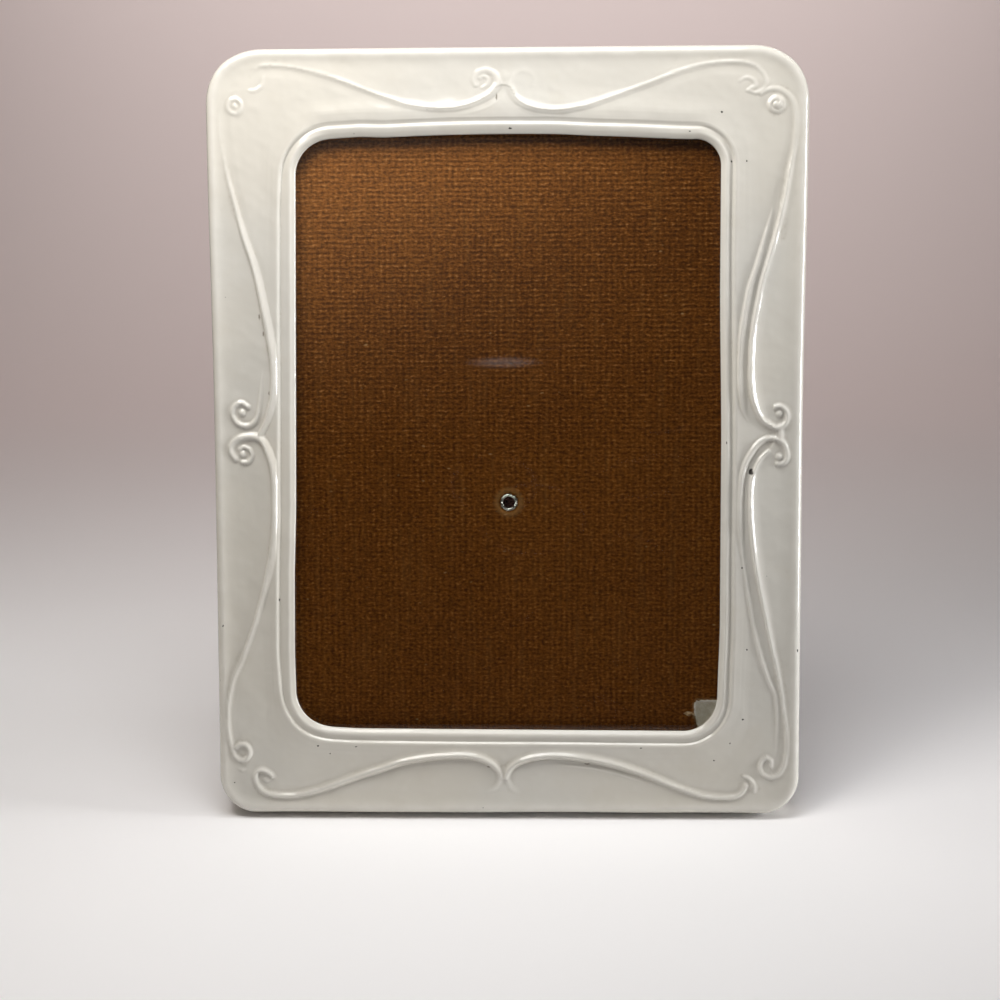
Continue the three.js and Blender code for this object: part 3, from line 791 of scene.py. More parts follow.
def curve(table):
    x = np.array([a for a, _ in table], float)
    y = np.array([b for _, b in table], float)
    # monotone cubic through the table
    h = np.diff(x)
    s = np.diff(y) / h
    g = np.zeros_like(y)
    g[0], g[-1] = s[0], s[-1]
    for i in range(1, len(x) - 1):
        if s[i - 1] * s[i] > 0:
            w1, w2 = 2 * h[i] + h[i - 1], h[i] + 2 * h[i - 1]
            g[i] = (w1 + w2) / (w1 / s[i - 1] + w2 / s[i])

    def f(q):
        q = np.clip(np.asarray(q, float), x[0], x[-1])
        i = np.clip(np.searchsorted(x, q, side="right") - 1, 0, len(x) - 2)
        t = (q - x[i]) / h[i]
        return ((1 + 2 * t) * (1 - t) ** 2 * y[i] + t * (1 - t) ** 2 * h[i] * g[i]
                + t * t * (3 - 2 * t) * y[i + 1] + t * t * (t - 1) * h[i] * g[i + 1])
    return f


FIELD = 9.05
RIM = curve([(0.0, 6.6), (0.10, 7.25), (0.25, 7.85), (0.42, 8.32), (0.6, 8.68), (0.82, 8.97), (1.05, 9.18), (1.3, 9.35),
             (1.55, 9.46), (2.0, 9.55), (2.7, 9.47), (3.5, 9.30), (4.5, 9.15), (5.5, 9.08), (6.5, 9.05), (30.0, 9.05)])
MOULD = curve([(0.0, 8.50), (0.12, 8.66), (0.3, 8.82), (0.6, 9.04), (0.9, 9.26), (1.15, 9.44), (1.35, 9.55), (1.55, 9.60), (1.75, 9.57), (2.0, 9.48), (2.5, 9.31), (2.95, 9.16),
               (3.25, 9.09), (3.4, 9.11), (3.55, 9.22), (3.8, 9.47), (4.0, 9.62), (4.2, 9.70), (4.4, 9.71), (4.65, 9.68), (5.1, 9.60), (6.5, 9.43), (8.5, 9.26), (11.0, 9.12),
               (14.0, 9.05), (60.0, 9.05)])
TAIL = curve([(0.0, .66), (4.45, .65), (5.1, .55), (6.5, .38), (8.5, .21), (11.0, .07), (14.0, 0.0), (60.0, 0.0)])
# along the top there is no bead: the face rolls down to the crease
MOULD_TOP = curve([(0.0, 8.24), (0.12, 8.38), (0.4, 8.53), (0.9, 8.77), (1.4, 9.00), (1.9, 9.21), (2.3, 9.35), (2.55, 9.39), (2.8, 9.35), (3.1, 9.20), (3.4, 9.08),
                   (3.6, 9.06), (4.0, 9.15), (4.5, 9.30), (4.9, 9.41), (5.4, 9.48), (6.2, 9.53), (7.0, 9.54), (8.2, 9.48), (10.0, 9.33), (12.5, 9.14), (15.0, 9.05), (60.0, 9.05)])
TAIL_TOP = curve([(0.0, .36), (4.8, .36), (5.6, .43), (7.0, .49), (8.2, .43), (10.0, .28), (12.5, .09), (15.0, 0.0), (60.0, 0.0)])

# Scroll ridges: (share of the length, half width, height) along the line, then the crest line. The
# flank is wide on the right of the side rails' ridges and above those of the top and bottom rails.
SIDE, ROUND, LEVEL, EVEN = (0.58, 0.0, 1.0), (0.55, 0.0, 0.25), (0.0, 0.26, 0.9), (0.15, 0.10, 0.3)
STROKES = [
    # top rail, left
    ([(0, .95, .12), (.06, 1.15, .15), (.45, 1.50, .19), (.72, 1.70, .27), (.86, 1.65, .34), (1, 1.35, .26)],
     [(-72.1, 101.7), (-70.9, 103.3), (-68.4, 104.2), (-63.9, 104.2), (-58.8, 103.5), (-53.8, 102.3), (-48.4, 100.6), (-43.4, 98.8), (-38.4, 96.8), (-33, 94.9), (-28.6, 93.4), (-24.1, 92.5), (-19.9, 92.1), (-15.4, 92.1), (-11.5, 92.8), (-7.8, 94.1), (-4.7, 95.8), (-2.8, 97.9), (-2.3, 99.9), (-3.4, 101.7), (-5.7, 102.6), (-7.9, 102), (-9, 100.4), (-8.5, 98.6)], LEVEL),
    ([(0, .80, .18), (1, .85, .22)], [(-6.7, 97.8), (-5.3, 98.7), (-5.1, 100.2), (-6.4, 101.1), (-7.4, 100.4)], EVEN),
    ([(0, .8, .02), (.5, .9, .14), (1, .8, .10)], [(-16.8, 90.7), (-13.4, 90.5), (-10.1, 90.9), (-6.7, 91.8), (-3.9, 93.1), (-1.9, 94.7)], LEVEL),
    # top rail, right
    ([(0, 1.55, .10), (.10, 1.85, .16), (.18, 1.75, .30), (.26, 1.70, .33), (.50, 1.50, .20), (.86, 1.15, .20), (1, .90, .26)],
     [(7.6, 98.5), (8.1, 100.3), (7, 101.9), (4.8, 102.6), (2.6, 101.8), (1.3, 100), (1.3, 97.8), (2.8, 94.8), (5.3, 92.9), (9.5, 91.6), (15.1, 91.3), (19.3, 91.9), (23.5, 92.8), (30.2, 95.1), (37.7, 97.7), (43, 99.6), (48.5, 101.7), (54.1, 103.3), (59.6, 104.1), (65.2, 104.2), (69.3, 103.3), (71.8, 101.5), (72.8, 99.2), (72.2, 97), (70.1, 95.8), (67.7, 96.5)], LEVEL),
    ([(0, .85, .15), (1, .90, .26)], [(65.5, 99.1), (67.1, 100), (69.1, 99.3), (69.8, 97.8), (68.6, 97)], EVEN),
    ([(0, .8, .10), (.5, .9, .14), (1, .8, .02)], [(3.7, 92.2), (6.7, 90.8), (10.9, 90.1), (15.1, 90), (20.7, 90.7)], LEVEL),
    # left rail, upper
    ([(0, .9, .12), (.4, 1.1, .22), (.75, 1.0, .20), (1, .8, .04)], [(-68.3, 101.2), (-68.7, 99.2), (-70.2, 97.7), (-72, 97.4), (-73.6, 97.9)], LEVEL),
    ([(0, .8, .04), (.15, 1.1, .12), (.4, 1.1, .12), (1, .9, .06)], [(-73.1, 97.6), (-74.6, 97.9), (-76.6, 97.6), (-78.8, 96.3), (-80.2, 93.5), (-80.8, 89.7), (-80.7, 85), (-80, 79.4), (-79, 73.6)], EVEN),
    ([(0, .5, .08), (.12, .8, .30), (.30, 1.15, .66), (.50, 1.45, .92), (.80, 1.5, .98), (1, 1.1, .70)],
     [(-80.3, 81.3), (-79.1, 73.6), (-77.5, 67.1), (-76, 61), (-74.6, 55.8), (-72.7, 50.2), (-71.2, 44.5), (-70.1, 38.9), (-69, 33.2), (-68, 27.6), (-67.15, 21.9), (-66.9, 16.2), (-67.3, 11.2), (-68.1, 7.9), (-69, 5.1), (-70.1, 2.5), (-71, .7)], ROUND),
    ([(0, .6, .05), (.3, .8, .45), (.5, .95, .72), (1, .9, .70)],
     [(-69.9, 19.6), (-70.2, 14.8), (-70.6, 10.5), (-71.1, 7.1), (-71.8, 4.8), (-73.3, 3.4), (-75.2, 3), (-77.2, 3.8), (-78.5, 5.7), (-78.6, 7.5), (-77.7, 9), (-75.9, 9.6), (-74.2, 8.5)], EVEN),
    # left rail, lower
    ([(0, 1.05, .70), (.10, 1.25, .85), (.20, 1.45, .95), (.45, 1.45, .82), (.70, 1.0, .52), (1, .8, .36)],
     [(-78.2, -6.3), (-79.3, -4.7), (-79.5, -2.9), (-78.5, -1.4), (-76.8, -.4), (-74.8, 0), (-72.5, -.1), (-70.7, -1.1), (-69.4, -3.4), (-68.2, -6.6), (-67.5, -9.8), (-67.15, -14), (-67.15, -19), (-67.3, -25), (-67.9, -31.5), (-69, -37.4), (-70.3, -43.2), (-72, -49.6), (-73.9, -55.8), (-75.8, -61), (-77.6, -65.5), (-79.7, -69.9), (-80.6, -73.7), (-81.3, -77.8), (-81.5, -82.5)], ROUND),
    ([(0, .75, .55), (1, .8, .65)], [(-76.7, -3.7), (-75.4, -3), (-73.7, -3.9), (-73.2, -5.7), (-74.3, -7.3), (-76.1, -7.3)], EVEN),
    ([(0, .8, .36), (.3, .8, .44), (.5, .9, .66), (1, .9, .70)],
     [(-81.5, -82.5), (-81.1, -86.6), (-80.3, -90.2), (-79.6, -92.6), (-78.3, -94), (-76.6, -94), (-75.4, -92.7), (-75.3, -91), (-76.3, -89.7), (-77.9, -89.5), (-79.2, -90.4)], EVEN),
    ([(0, .6, .10), (.5, .7, .30), (1, .6, .05)], [(-79, -96.6), (-77.4, -97), (-75.9, -96.5)], EVEN),
    # right rail, upper
    ([(0, .8, .30), (.3, 1.25, .34), (1, 1.2, .20)], [(71.3, 95.5), (73.3, 96.6), (76.3, 96.8), (78.8, 95.2), (80.7, 92.3), (81.4, 88.4), (81.2, 83.8), (80.3, 78.3), (78.9, 72.5)], EVEN),
    ([(0, .9, .36), (.12, 1.15, .74), (.30, 1.4, .94), (.55, 1.6, 1.0), (.78, 1.6, 1.0), (.86, 1.2, .84), (1, 1.0, .74)],
     [(80.7, 80.2), (79.3, 73.6), (78, 66), (76.7, 60.5), (75.3, 54.9), (73.7, 49.4), (72.1, 43.8), (70.95, 38.2), (69.9, 32.6), (69.2, 27), (68.95, 21.3), (69, 15.7), (69.5, 11), (70.3, 8.3), (71.4, 5.8), (72.9, 3.8), (75, 2.6), (77.1, 2.1), (78.8, 3.1), (79.5, 5.1), (79.1, 7), (77.6, 8.2), (76, 8)], SIDE),
    ([(0, .9, .15), (.2, 1.6, .74), (.55, 1.9, .90), (.85, 1.6, .72), (1, 1.0, .15)], [(74.9, 63.5), (73.3, 57.8), (71.8, 52.2), (70.2, 46.6), (68.4, 41), (67.4, 35.4), (66.5, 29.8), (66.05, 24.2), (65.9, 18.5), (66.1, 12.9), (66.9, 7.2), (68.2, 4.4)], ROUND),
    # right rail, lower
    ([(0, .85, .65), (.35, .95, .78), (.62, 1.1, .70), (.85, 1.2, .48), (1, 1.0, .22)], [(76.8, -8.2), (78.5, -8), (79.6, -6.7), (79.6, -4.7), (78.6, -2.3), (76.8, -1.1), (74.5, -.9), (72.7, -1.4), (71, -2.8), (69.5, -4.9), (68.1, -7.4), (67.2, -10.1), (66.7, -13.5), (66.4, -18.3), (66.4, -23.4), (66.6, -28.5), (67, -34)], EVEN),
    ([(0, .8, .40), (.1, 1.2, .80), (.28, 1.45, .94), (.50, 1.25, .80), (.75, .95, .56), (1, .8, .44)],
     [(74.2, -4.4), (72, -6.6), (70.6, -9.2), (69.6, -12.2), (69.2, -15.5), (69.15, -21), (69.55, -27), (70.2, -32.7), (71.1, -38.5), (72.25, -44.2), (73.5, -50), (74.7, -55.8), (76, -61.6), (77.2, -67), (78.3, -72.4), (79.2, -78.1), (80, -83.7), (80.3, -88), (80.25, -91.5), (79.9, -94.6)], SIDE),
    ([(0, .9, .20), (.45, .9, .36), (.8, .9, .40), (1, .9, .12)], [(66.9, -31.1), (68.3, -42.6), (70.5, -55), (73, -64.8), (75.3, -71.2), (77, -74.9), (77.6, -80.2), (77.5, -86.4), (77.3, -91)], EVEN),
    ([(0, .80, .50), (.3, .95, .62), (.7, .85, .58), (1, .75, .50)], [(80.1, -92.6), (79.6, -95.6), (78, -98), (75.8, -98.8), (73.7, -98.1), (72.7, -96.2), (73.1, -94.1), (74.6, -93.2), (76, -94.1), (75.9, -95.5)], EVEN),
    ([(0, 1.1, .60), (1, 1.1, .60)], [(77.6, 2.5), (77.7, .7), (77.7, -1.6)], EVEN),
    # bottom rail, left
    ([(0, .90, .72), (.1, 1.05, .82), (.32, 1.15, .88), (.58, 1.35, 1.18), (.85, 1.45, 1.32), (1, 1.2, .95)],
     [(-68.7, -99), (-69.5, -98), (-70.7, -97.3), (-72, -97), (-73.1, -97.5), (-73.6, -98.9), (-73.3, -100.8), (-72.3, -102.4), (-70.6, -103.7), (-68, -104.4), (-64.5, -104.6), (-60.6, -104.2), (-54.8, -102.7), (-48.9, -100.6), (-43.1, -98.5), (-37.2, -96.6), (-31.4, -94.6), (-25.5, -93.4), (-19.7, -92.7), (-13.9, -92.4), (-9.8, -92.8), (-6.8, -93.7), (-4.8, -94.8), (-3.4, -96), (-2.4, -97.4), (-1.9, -99)], LEVEL),
    ([(0, .6, .10), (1, .7, .25)], [(-74.8, -100), (-74.4, -98.6), (-73.4, -97.6)], EVEN),
    # bottom rail, right
    ([(0, 1.2, .95), (.15, 1.45, 1.32), (.40, 1.35, 1.18), (.62, 1.15, .86), (.9, 1.05, .80), (1, .90, .72)],
     [(-.7, -99), (-.2, -97.4), (.8, -96), (2.3, -94.8), (4.3, -93.9), (7.3, -93), (11.6, -92.5), (15.6, -92.5), (20.8, -93.1), (26.6, -94.1), (32.4, -95.6), (38.2, -97.5), (44, -99.8), (49.7, -102.1), (55.5, -104.1), (59.4, -104.7), (63.1, -104.8), (66.2, -104.2), (68, -102.8), (68.7, -101.2)], LEVEL),
    ([(0, .7, .04), (.3, .9, .26), (.7, .9, .22), (1, .7, .04)], [(12, -95.3), (18, -95.5), (24, -96.2), (30, -97.4), (36, -99.1), (42, -101.3)], LEVEL),
    # the foot of the centre motif, spread to both sides
    ([(0, 1.1, .60), (.4, 1.3, .36), (1, 1.2, .12)], [(-1.9, -98.7), (-2.4, -100.5), (-3.7, -102.1), (-6.2, -103.3)], EVEN),
    ([(0, 1.1, .60), (.4, 1.3, .36), (1, 1.2, .12)], [(-.7, -98.7), (-.1, -100.5), (1, -102.2), (2.8, -103.6)], EVEN),
    ([(0, .75, .45), (.5, .80, .58), (1, .75, .45)], [(68.2, -98.6), (69.5, -99.1), (70.5, -100.1), (71.1, -101.4), (71.2, -102.9)], EVEN),
    # small ticks left by the mould
    ([(0, .34, .10), (1, .34, .10)], [(-70.6, -64.6), (-69, -64.5)], EVEN),
    ([(0, .34, .12), (1, .34, .08)], [(-70.4, -66.6), (-68.8, -66.6)], EVEN),
    ([(0, .34, .10), (1, .34, .12)], [(-70.5, -68.7), (-68.6, -68.6)], EVEN),
    ([(0, .34, .08), (1, .34, .10)], [(-70.2, -71.2), (-68.9, -71.2)], EVEN),
    ([(0, .36, .10), (1, .36, .10)], [(68.4, -62.6), (70.1, -62.9)], EVEN),
    ([(0, .36, .12), (1, .36, .08)], [(68.2, -72.8), (69.8, -72.7)], EVEN),
]
# Volute eyes: centre, radius, height
KNOBS = [(-75.8, 6.8, 1.15, .65), (-75.9, -5, 1.2, .65), (77.4, 6.1, 1.2, .65), (77.4, -6.1, 1.2, .65), (-.5, 101.2, 1.8, .16), (-70.3, -99.9, 1.0, .40), (-1.3, -97.3, 1.5, .40), (-1.3, -101, 2.4, .22)]
# The closed line that the long ridges follow round the face
LOOP = ([(1.3, 97.8), (2.8, 94.8), (5.3, 92.9), (9.5, 91.6), (15.1, 91.3), (19.3, 91.9), (23.5, 92.8), (30.2, 95.1), (37.7, 97.7), (43, 99.6), (48.5, 101.7), (54.1, 103.3), (59.6, 104.1), (65.2, 104.2), (69.3, 103.3), (75, 101), (79, 97), (81, 92)]
        + [(81.4, 88.4), (81.2, 83.8), (80.7, 80.2), (79.3, 73.6), (78, 66), (76.7, 60.5), (75.3, 54.9), (73.7, 49.4), (72.1, 43.8), (70.95, 38.2), (69.9, 32.6), (69.2, 27), (68.95, 21.3), (69, 15.7), (69.5, 11), (70.3, 8.3), (71.4, 5.8), (72.9, 3.8), (75, 2.6), (76.2, .6), (75.4, -2.6), (74.2, -4.4)]
        + [(72, -6.6), (70.6, -9.2), (69.6, -12.2), (69.2, -15.5), (69.15, -21), (69.55, -27), (70.2, -32.7), (71.1, -38.5), (72.25, -44.2), (73.5, -50), (74.7, -55.8), (76, -61.6), (77.2, -67), (78.3, -72.4), (79.2, -78.1), (80, -83.7), (80.3, -88), (80.2, -92.4), (79.4, -96.9), (77, -101), (72, -104), (68, -104.6)]
        + [(63.1, -104.8), (59.4, -104.7), (55.5, -104.1), (49.7, -102.1), (44, -99.8), (38.2, -97.5), (32.4, -95.6), (26.6, -94.1), (20.8, -93.1), (15.6, -92.5), (11.6, -92.5), (7.3, -93), (4.3, -93.9), (2.3, -94.8), (.8, -96), (-1.3, -98)]
        + [(-3.2, -96.3), (-4.8, -94.8), (-6.8, -93.7), (-9.8, -92.8), (-13.9, -92.4), (-19.7, -92.7), (-25.5, -93.4), (-31.4, -94.6), (-37.2, -96.6), (-43.1, -98.5), (-48.9, -100.6), (-54.8, -102.7), (-60.6, -104.2), (-64.5, -104.7), (-68, -104.5), (-73, -103), (-78, -99.5), (-80.3, -92)]
        + [(-81, -87.2), (-81.5, -82.5), (-81.3, -77.8), (-80.6, -73.7), (-79.7, -69.9), (-77.6, -65.5), (-75.8, -61), (-73.9, -55.8), (-72, -49.6), (-70.3, -43.2), (-69, -37.4), (-67.9, -31.5), (-67.3, -25), (-67.15, -19), (-67.15, -14), (-67.5, -9.8), (-68.2, -6.6), (-69.4, -3.4), (-70.7, -1.1)]
        + [(-71, .7), (-70.1, 2.5), (-69, 5.1), (-68.1, 7.9), (-67.3, 11.2), (-66.9, 16.2), (-67.15, 21.9), (-68, 27.6), (-69, 33.2), (-70.1, 38.9), (-71.2, 44.5), (-72.7, 50.2), (-74.6, 55.8), (-76, 61), (-77.5, 67.1), (-79.1, 73.6), (-80.3, 81.3), (-80.7, 85), (-80.8, 89.7), (-80.2, 93.5), (-78, 98.5), (-74, 102.5), (-68.4, 104.2)]
        + [(-63.9, 104.2), (-58.8, 103.5), (-53.8, 102.3), (-48.4, 100.6), (-43.4, 98.8), (-38.4, 96.8), (-33, 94.9), (-28.6, 93.4), (-24.1, 92.5), (-19.9, 92.1), (-15.4, 92.1), (-11.5, 92.8), (-7.8, 94.1), (-4.7, 95.8), (-2.8, 97.9), (-.8, 98.6)])


def spline(points, step=0.55, closed=False):
    p = np.array(points, float)
    if closed:
        q = np.concatenate([p[-1:], p, p[:2]])
    else:
        q = np.concatenate([2 * p[:1] - p[1:2], p, 2 * p[-1:] - p[-2:-1]])
    out = []
    for i in range(1, len(q) - 2):
        a, b, c, d = q[i - 1], q[i], q[i + 1], q[i + 2]
        n = max(2, int(math.ceil(np.linalg.norm(c - b) / step)))
        for k in range(n):
            t = k / n
            out.append(0.5 * (2 * b + (c - a) * t + (2 * a - 5 * b + 4 * c - d) * t * t + (3 * b - a - 3 * c + d) * t ** 3))
    if not closed:
        out.append(q[-2])
    return np.array(out)


def near_line(pts, line, closed=False):
    """Distance to a polyline, and the length along it of the nearest point."""
    a = line if not closed else np.concatenate([line, line[:1]])
    s0, s1 = a[:-1], a[1:]
    d = s1 - s0
    ln = np.linalg.norm(d, axis=1)
    cum = np.concatenate([[0], np.cumsum(ln)])
    best = np.full(len(pts), 1e9)
    along = np.zeros(len(pts))
    for i in range(len(s0)):
        r = pts - s0[i]
        t = np.clip((r @ d[i]) / max(ln[i] ** 2, 1e-12), 0, 1)
        dist = (r[:, 0] - t * d[i, 0]) ** 2 + (r[:, 1] - t * d[i, 1]) ** 2
        hit = dist < best
        best[hit] = dist[hit]
        along[hit] = cum[i] + t[hit] * ln[i]
    return np.sqrt(best), along, cum[-1]


def near_crest(pts, line):
    """As near_line, and the way from the nearest point of the line."""
    d = np.diff(line, axis=0)
    ln = np.linalg.norm(d, axis=1)
    cum = np.concatenate([[0], np.cumsum(ln)])
    best = np.full(len(pts), 1e9)
    along = np.zeros(len(pts))
    away = np.zeros((len(pts), 2))
    for i in range(len(d)):
        r = pts - line[i]
        t = np.clip((r @ d[i]) / max(ln[i] ** 2, 1e-12), 0, 1)
        e = r - t[:, None] * d[i]
        dist = (e * e).sum(1)
        hit = dist < best
        best[hit] = dist[hit]
        along[hit] = cum[i] + t[hit] * ln[i]
        away[hit] = e[hit]
    return np.sqrt(best), along, cum[-1], away


def inside(pts, poly):
    x, y = pts[:, 0], pts[:, 1]
    res = np.zeros(len(pts), bool)
    q = np.roll(poly, -1, 0)
    for (x0, y0), (x1, y1) in zip(poly, q):
        if y0 == y1:
            continue
        cross = ((y0 > y) != (y1 > y)) & (x < (x1 - x0) * (y - y0) / (y1 - y0) + x0)
        res ^= cross
    return res


def ornament(u, v):
    """Relief of the scrolls in mm, with each point's distance to the loop line and whether it lies inside it."""
    pts = np.stack([u, v], 1)
    rise = np.zeros(len(pts))
    for prof, line, lop in STROKES:
        c = spline(line)
        share, half, tall = (np.array(x, float) for x in zip(*prof))
        lo, hi = c.min(0) - 4.0, c.max(0) + 4.0
        sel = np.where((pts > lo).all(1) & (pts < hi).all(1))[0]
        if not len(sel):
            continue
        d, s, total, away = near_crest(pts[sel], c)
        aa, hh = np.interp(s / total, share, half), np.interp(s / total, share, tall)
        side = (away[:, 0] * lop[0] + away[:, 1] * lop[1]) / np.maximum(d, 0.05)
        x = d / (aa * (1 + side))
        # steep on the narrow flank, hollow and drawn out on the wide one, with a small fillet at the foot
        bell = hh * np.where(x < 1.0, np.maximum(1 - x * x, 0.0) ** (0.9 + 0.75 * np.maximum(side, 0.0)), 1 - x)
        bell = 0.5 * (bell + np.sqrt(bell * bell + 0.006)) - 0.5 * (np.sqrt((hh * 3) ** 2 + 0.006) - hh * 3)
        bell = np.where(x > 2.0, 0.0, np.maximum(bell, 0.0) * (1 - smooth(1.15, 1.6, x)))
        flare = hh * (0.73 * np.exp(-0.5 * (x / 0.33) ** 2) + 0.27 * np.exp(-0.5 * (x / 0.85) ** 2)) * (1 - smooth(1.3, 2.0, x))
        wide = lop[2] * smooth(-0.7, 0.7, side / math.hypot(lop[0], lop[1]))
        bell = bell + (flare - bell) * wide
        r0 = rise[sel]
        rise[sel] = np.maximum(smax(r0, bell, 0.10) - 0.05 * np.exp(-np.maximum(r0, bell) / 0.15), 0.0)
    for cx, cy, r, h in KNOBS:
        d = np.hypot(u - cx, v - cy) / r
        b = h * np.maximum(1 - d * d, 0.0) ** 0.8
        rise = smax(rise, b, 0.06) - 0.03 * np.exp(-np.maximum(rise, b) / 0.1)
    # upper left: a small ring with an eye; upper right: a bun with one turn of spiral crease
    d = np.hypot(u + 76.6, v - 93.2)
    ringlet = 0.34 * np.exp(-((d - 1.95) / 0.62) ** 2) + 0.40 * np.exp(-(d / 0.80) ** 2)
    dx, dy = u - 75.7, v - 92.6
    d = np.hypot(dx, dy)
    turn = (np.arctan2(dy, dx) - 0.6) % (2 * math.pi)
    bun = 0.85 * np.maximum(1 - (d / 2.7) ** 2, 0.0) ** 0.7 - 0.34 * np.exp(-((d - 0.75 - 0.16 * turn) / 0.32) ** 2) * (d < 2.4)
    rise = np.maximum(smax(smax(rise, ringlet, 0.06), np.maximum(bun, 0.0), 0.06) - 0.06, 0.0)
    loop = spline(LOOP, 0.8, closed=True)
    d, _, _ = near_line(pts, loop, closed=True)
    return rise, d, inside(pts, loop)


def make_casting():
    rows_u, rows_v, rows_w, front = [], [], [], []
    d_out, d_in = [], []
    BIG = np.full(NCOL, 30.0)

    def put(u, v, w, is_front=False, do=None, di=None):
        rows_u.append(u)
        rows_v.append(v)
        rows_w.append(np.full(NCOL, float(w)) if np.isscalar(w) else w)
        front.append(is_front)
        d_out.append(BIG if do is None else do)
        d_in.append(BIG if di is None else di)

    for d, w in ((0.22, 0.0), (0.06, 0.06), (0.0, 0.25), (0.03, 3.4), (0.06, 5.6)):
        put(*warp(*ring(OUT, -d)), w)
    u_in, v_in = ring(SIGHT, 6.2)
    u8, v8 = ring(OUT, -8.0)
    gap = np.hypot(u8 - u_in, v8 - v_in)
    for d in (0.08, 0.14, 0.25, 0.42, 0.6, 0.82, 1.05, 1.3, 1.55, 2.0, 2.5, 3.0, 3.5, 3.9, 4.3, 4.7, 5.1, 5.5, 5.9, 6.3, 6.7, 7.1, 7.5):
        put(*warp(*ring(OUT, -d)), 0.0, True, np.full(NCOL, d), 6.2 + gap + (8.0 - d))
    NB = 50
    for i in range(NB):
        s = i / NB
        put(*warp(u8 + (u_in - u8) * s, v8 + (v_in - v8) * s), 0.0, True, 8.0 + gap * s, 6.2 + gap * (1 - s))
    for d in (6.2, 5.9, 5.65, 5.45, 5.25, 5.05, 4.85, 4.6, 4.35, 4.15, 3.98, 3.84, 3.72, 3.62, 3.53, 3.45, 3.36, 3.26, 3.14, 3.0, 2.8, 2.55, 2.25,
              1.9, 1.55, 1.2, .9, .62, .4, .24, .1):
        put(*warp(*ring(SIGHT, d)), 0.0, True, 8.0 + gap + (6.2 - d), np.full(NCOL, d))
    for w in (8.15, 8.08):
        put(*warp(*ring(SIGHT, 0.0)), w)
    put(*warp(*ring(SIGHT, 0.15)), 8.0)
    for d, w in ((-0.12, 8.0), (0.0, 7.9), (0.0, 2.75), (0.15, 2.6), (2.35, 2.6), (2.5, 2.75), (2.5, 6.0), (2.7, 6.2)):
        put(*ring(REBATE, d), w)
    for d, w in ((3.2, 6.2), (3.0, 6.0), (2.72, 0.2), (2.52, 0.0)):
        put(*warp(*ring(OUT, -d)), w)

    U, V, W = np.array(rows_u), np.array(rows_v), np.array(rows_w)
    F = np.array(front)
    DO, DI = np.array(d_out)[F], np.array(d_in)[F]
    fu, fv = U[F], V[F]
    rise, dl, inn = ornament(fu.ravel(), fv.ravel())
    rise, dl, inn = (x.reshape(fu.shape) for x in (rise, dl, inn))
    # each bead run sits a little off its mean place
    au = np.abs(fu)
    side_r = smooth(56, 64, fu) * (1 - smooth(60, 84, np.abs(fv)))
    side_l = smooth(56, 64, -fu) * (1 - smooth(60, 84, np.abs(fv)))
    shift = 0.10 * side_r - 0.80 * side_l + 0.05 * np.sin(fv / 7.3) * (side_r + side_l) + 0.06 * np.sin(fu / 9.1) * (1 - smooth(50, 60, au))
    di = DI + shift * smooth(1.8, 3.6, DI) * (1 - smooth(6.5, 9.0, DI))
    crown = smooth(80, 88, fv) * (1 - smooth(50, 63, au))
    rim = RIM(DO)
    mould = MOULD(di) + (MOULD_TOP(di) - MOULD(di)) * crown - FIELD
    mould = mould - 0.13 * side_r * np.exp(-((di - 3.05) / 0.38) ** 2)
    mould = mould + side_l * (0.30 * (1 - smooth(0.0, 1.0, di)) - 0.14 * np.exp(-((di - 1.5) / 0.7) ** 2))
    tail = TAIL(di) + (TAIL_TOP(di) - TAIL(di)) * crown
    # outside the long ridge the face runs up to its crest, inside it swells softly
    # the run-up is strongest along the top and weakest along the bottom
    climb = 0.06 + 0.20 * smooth(70, 92, fv) + 0.26 * smooth(50, 66, fu) * (1 - smooth(70, 92, np.abs(fv))) * smooth(-60, -20, fv)
    plain = smooth(66, 75, au) * smooth(84, 95, np.abs(fv))
    out_slope = climb * (1 - plain) * np.clip(1 - dl / 5.8, 0, 1) ** 2 * smooth(2.6, 5.2, DO)
    swell = 0.12 * smooth(1.0, 3.6, dl) * smooth(5.6, 9.5, DI)
    ground = np.where(inn, swell, out_slope)
    ground = np.where(inn, ground + 0.10 * (1 - plain) * np.exp(-(dl / 1.2) ** 2), ground)
    lump = 0.042 * wave_sum(waves(11, 22, 7.0, 30.0), fu, fv) + 0.012 * wave_sum(waves(12, 26, 2.6, 7.0), fu, fv)
    lump = lump * smooth(0.3, 1.5, DO)
    body = tail + ground + rise - 3.0 * (1 - smooth(3.7, 4.6, di))
    relief = smax(mould, body, 0.06) - 0.03
    W[F] = rim + relief + lump * (0.6 + 0.4 * smooth(0.5, 5.0, DI))
    # a cavity map, for the painted shade and the dirt in the hollows
    blur = W[F].copy()
    for _ in range(9):
        up, down = np.vstack([blur[:1], blur[:-1]]), np.vstack([blur[1:], blur[-1:]])
        blur = (blur * 2 + up + down + np.roll(blur, 1, 1) + np.roll(blur, -1, 1)) / 6.0
    crease = np.zeros_like(W)
    crease[F] = np.clip((blur - W[F]) / 0.075, 0, 1) * smooth(0.15, 0.6, DI)
    crease[~F] = 0.25
    # a map of the high lines, for the painted highlight on them
    crest_highlight = np.zeros_like(W)
    crest_highlight[F] = np.maximum(np.clip((W[F] - blur) / 0.10, 0, 1), 0.8 * smooth(0.35, 1.05, rise)) * smooth(0.5, 1.5, DO)

    pts = np.stack([U.ravel(), V.ravel(), W.ravel()], 1)
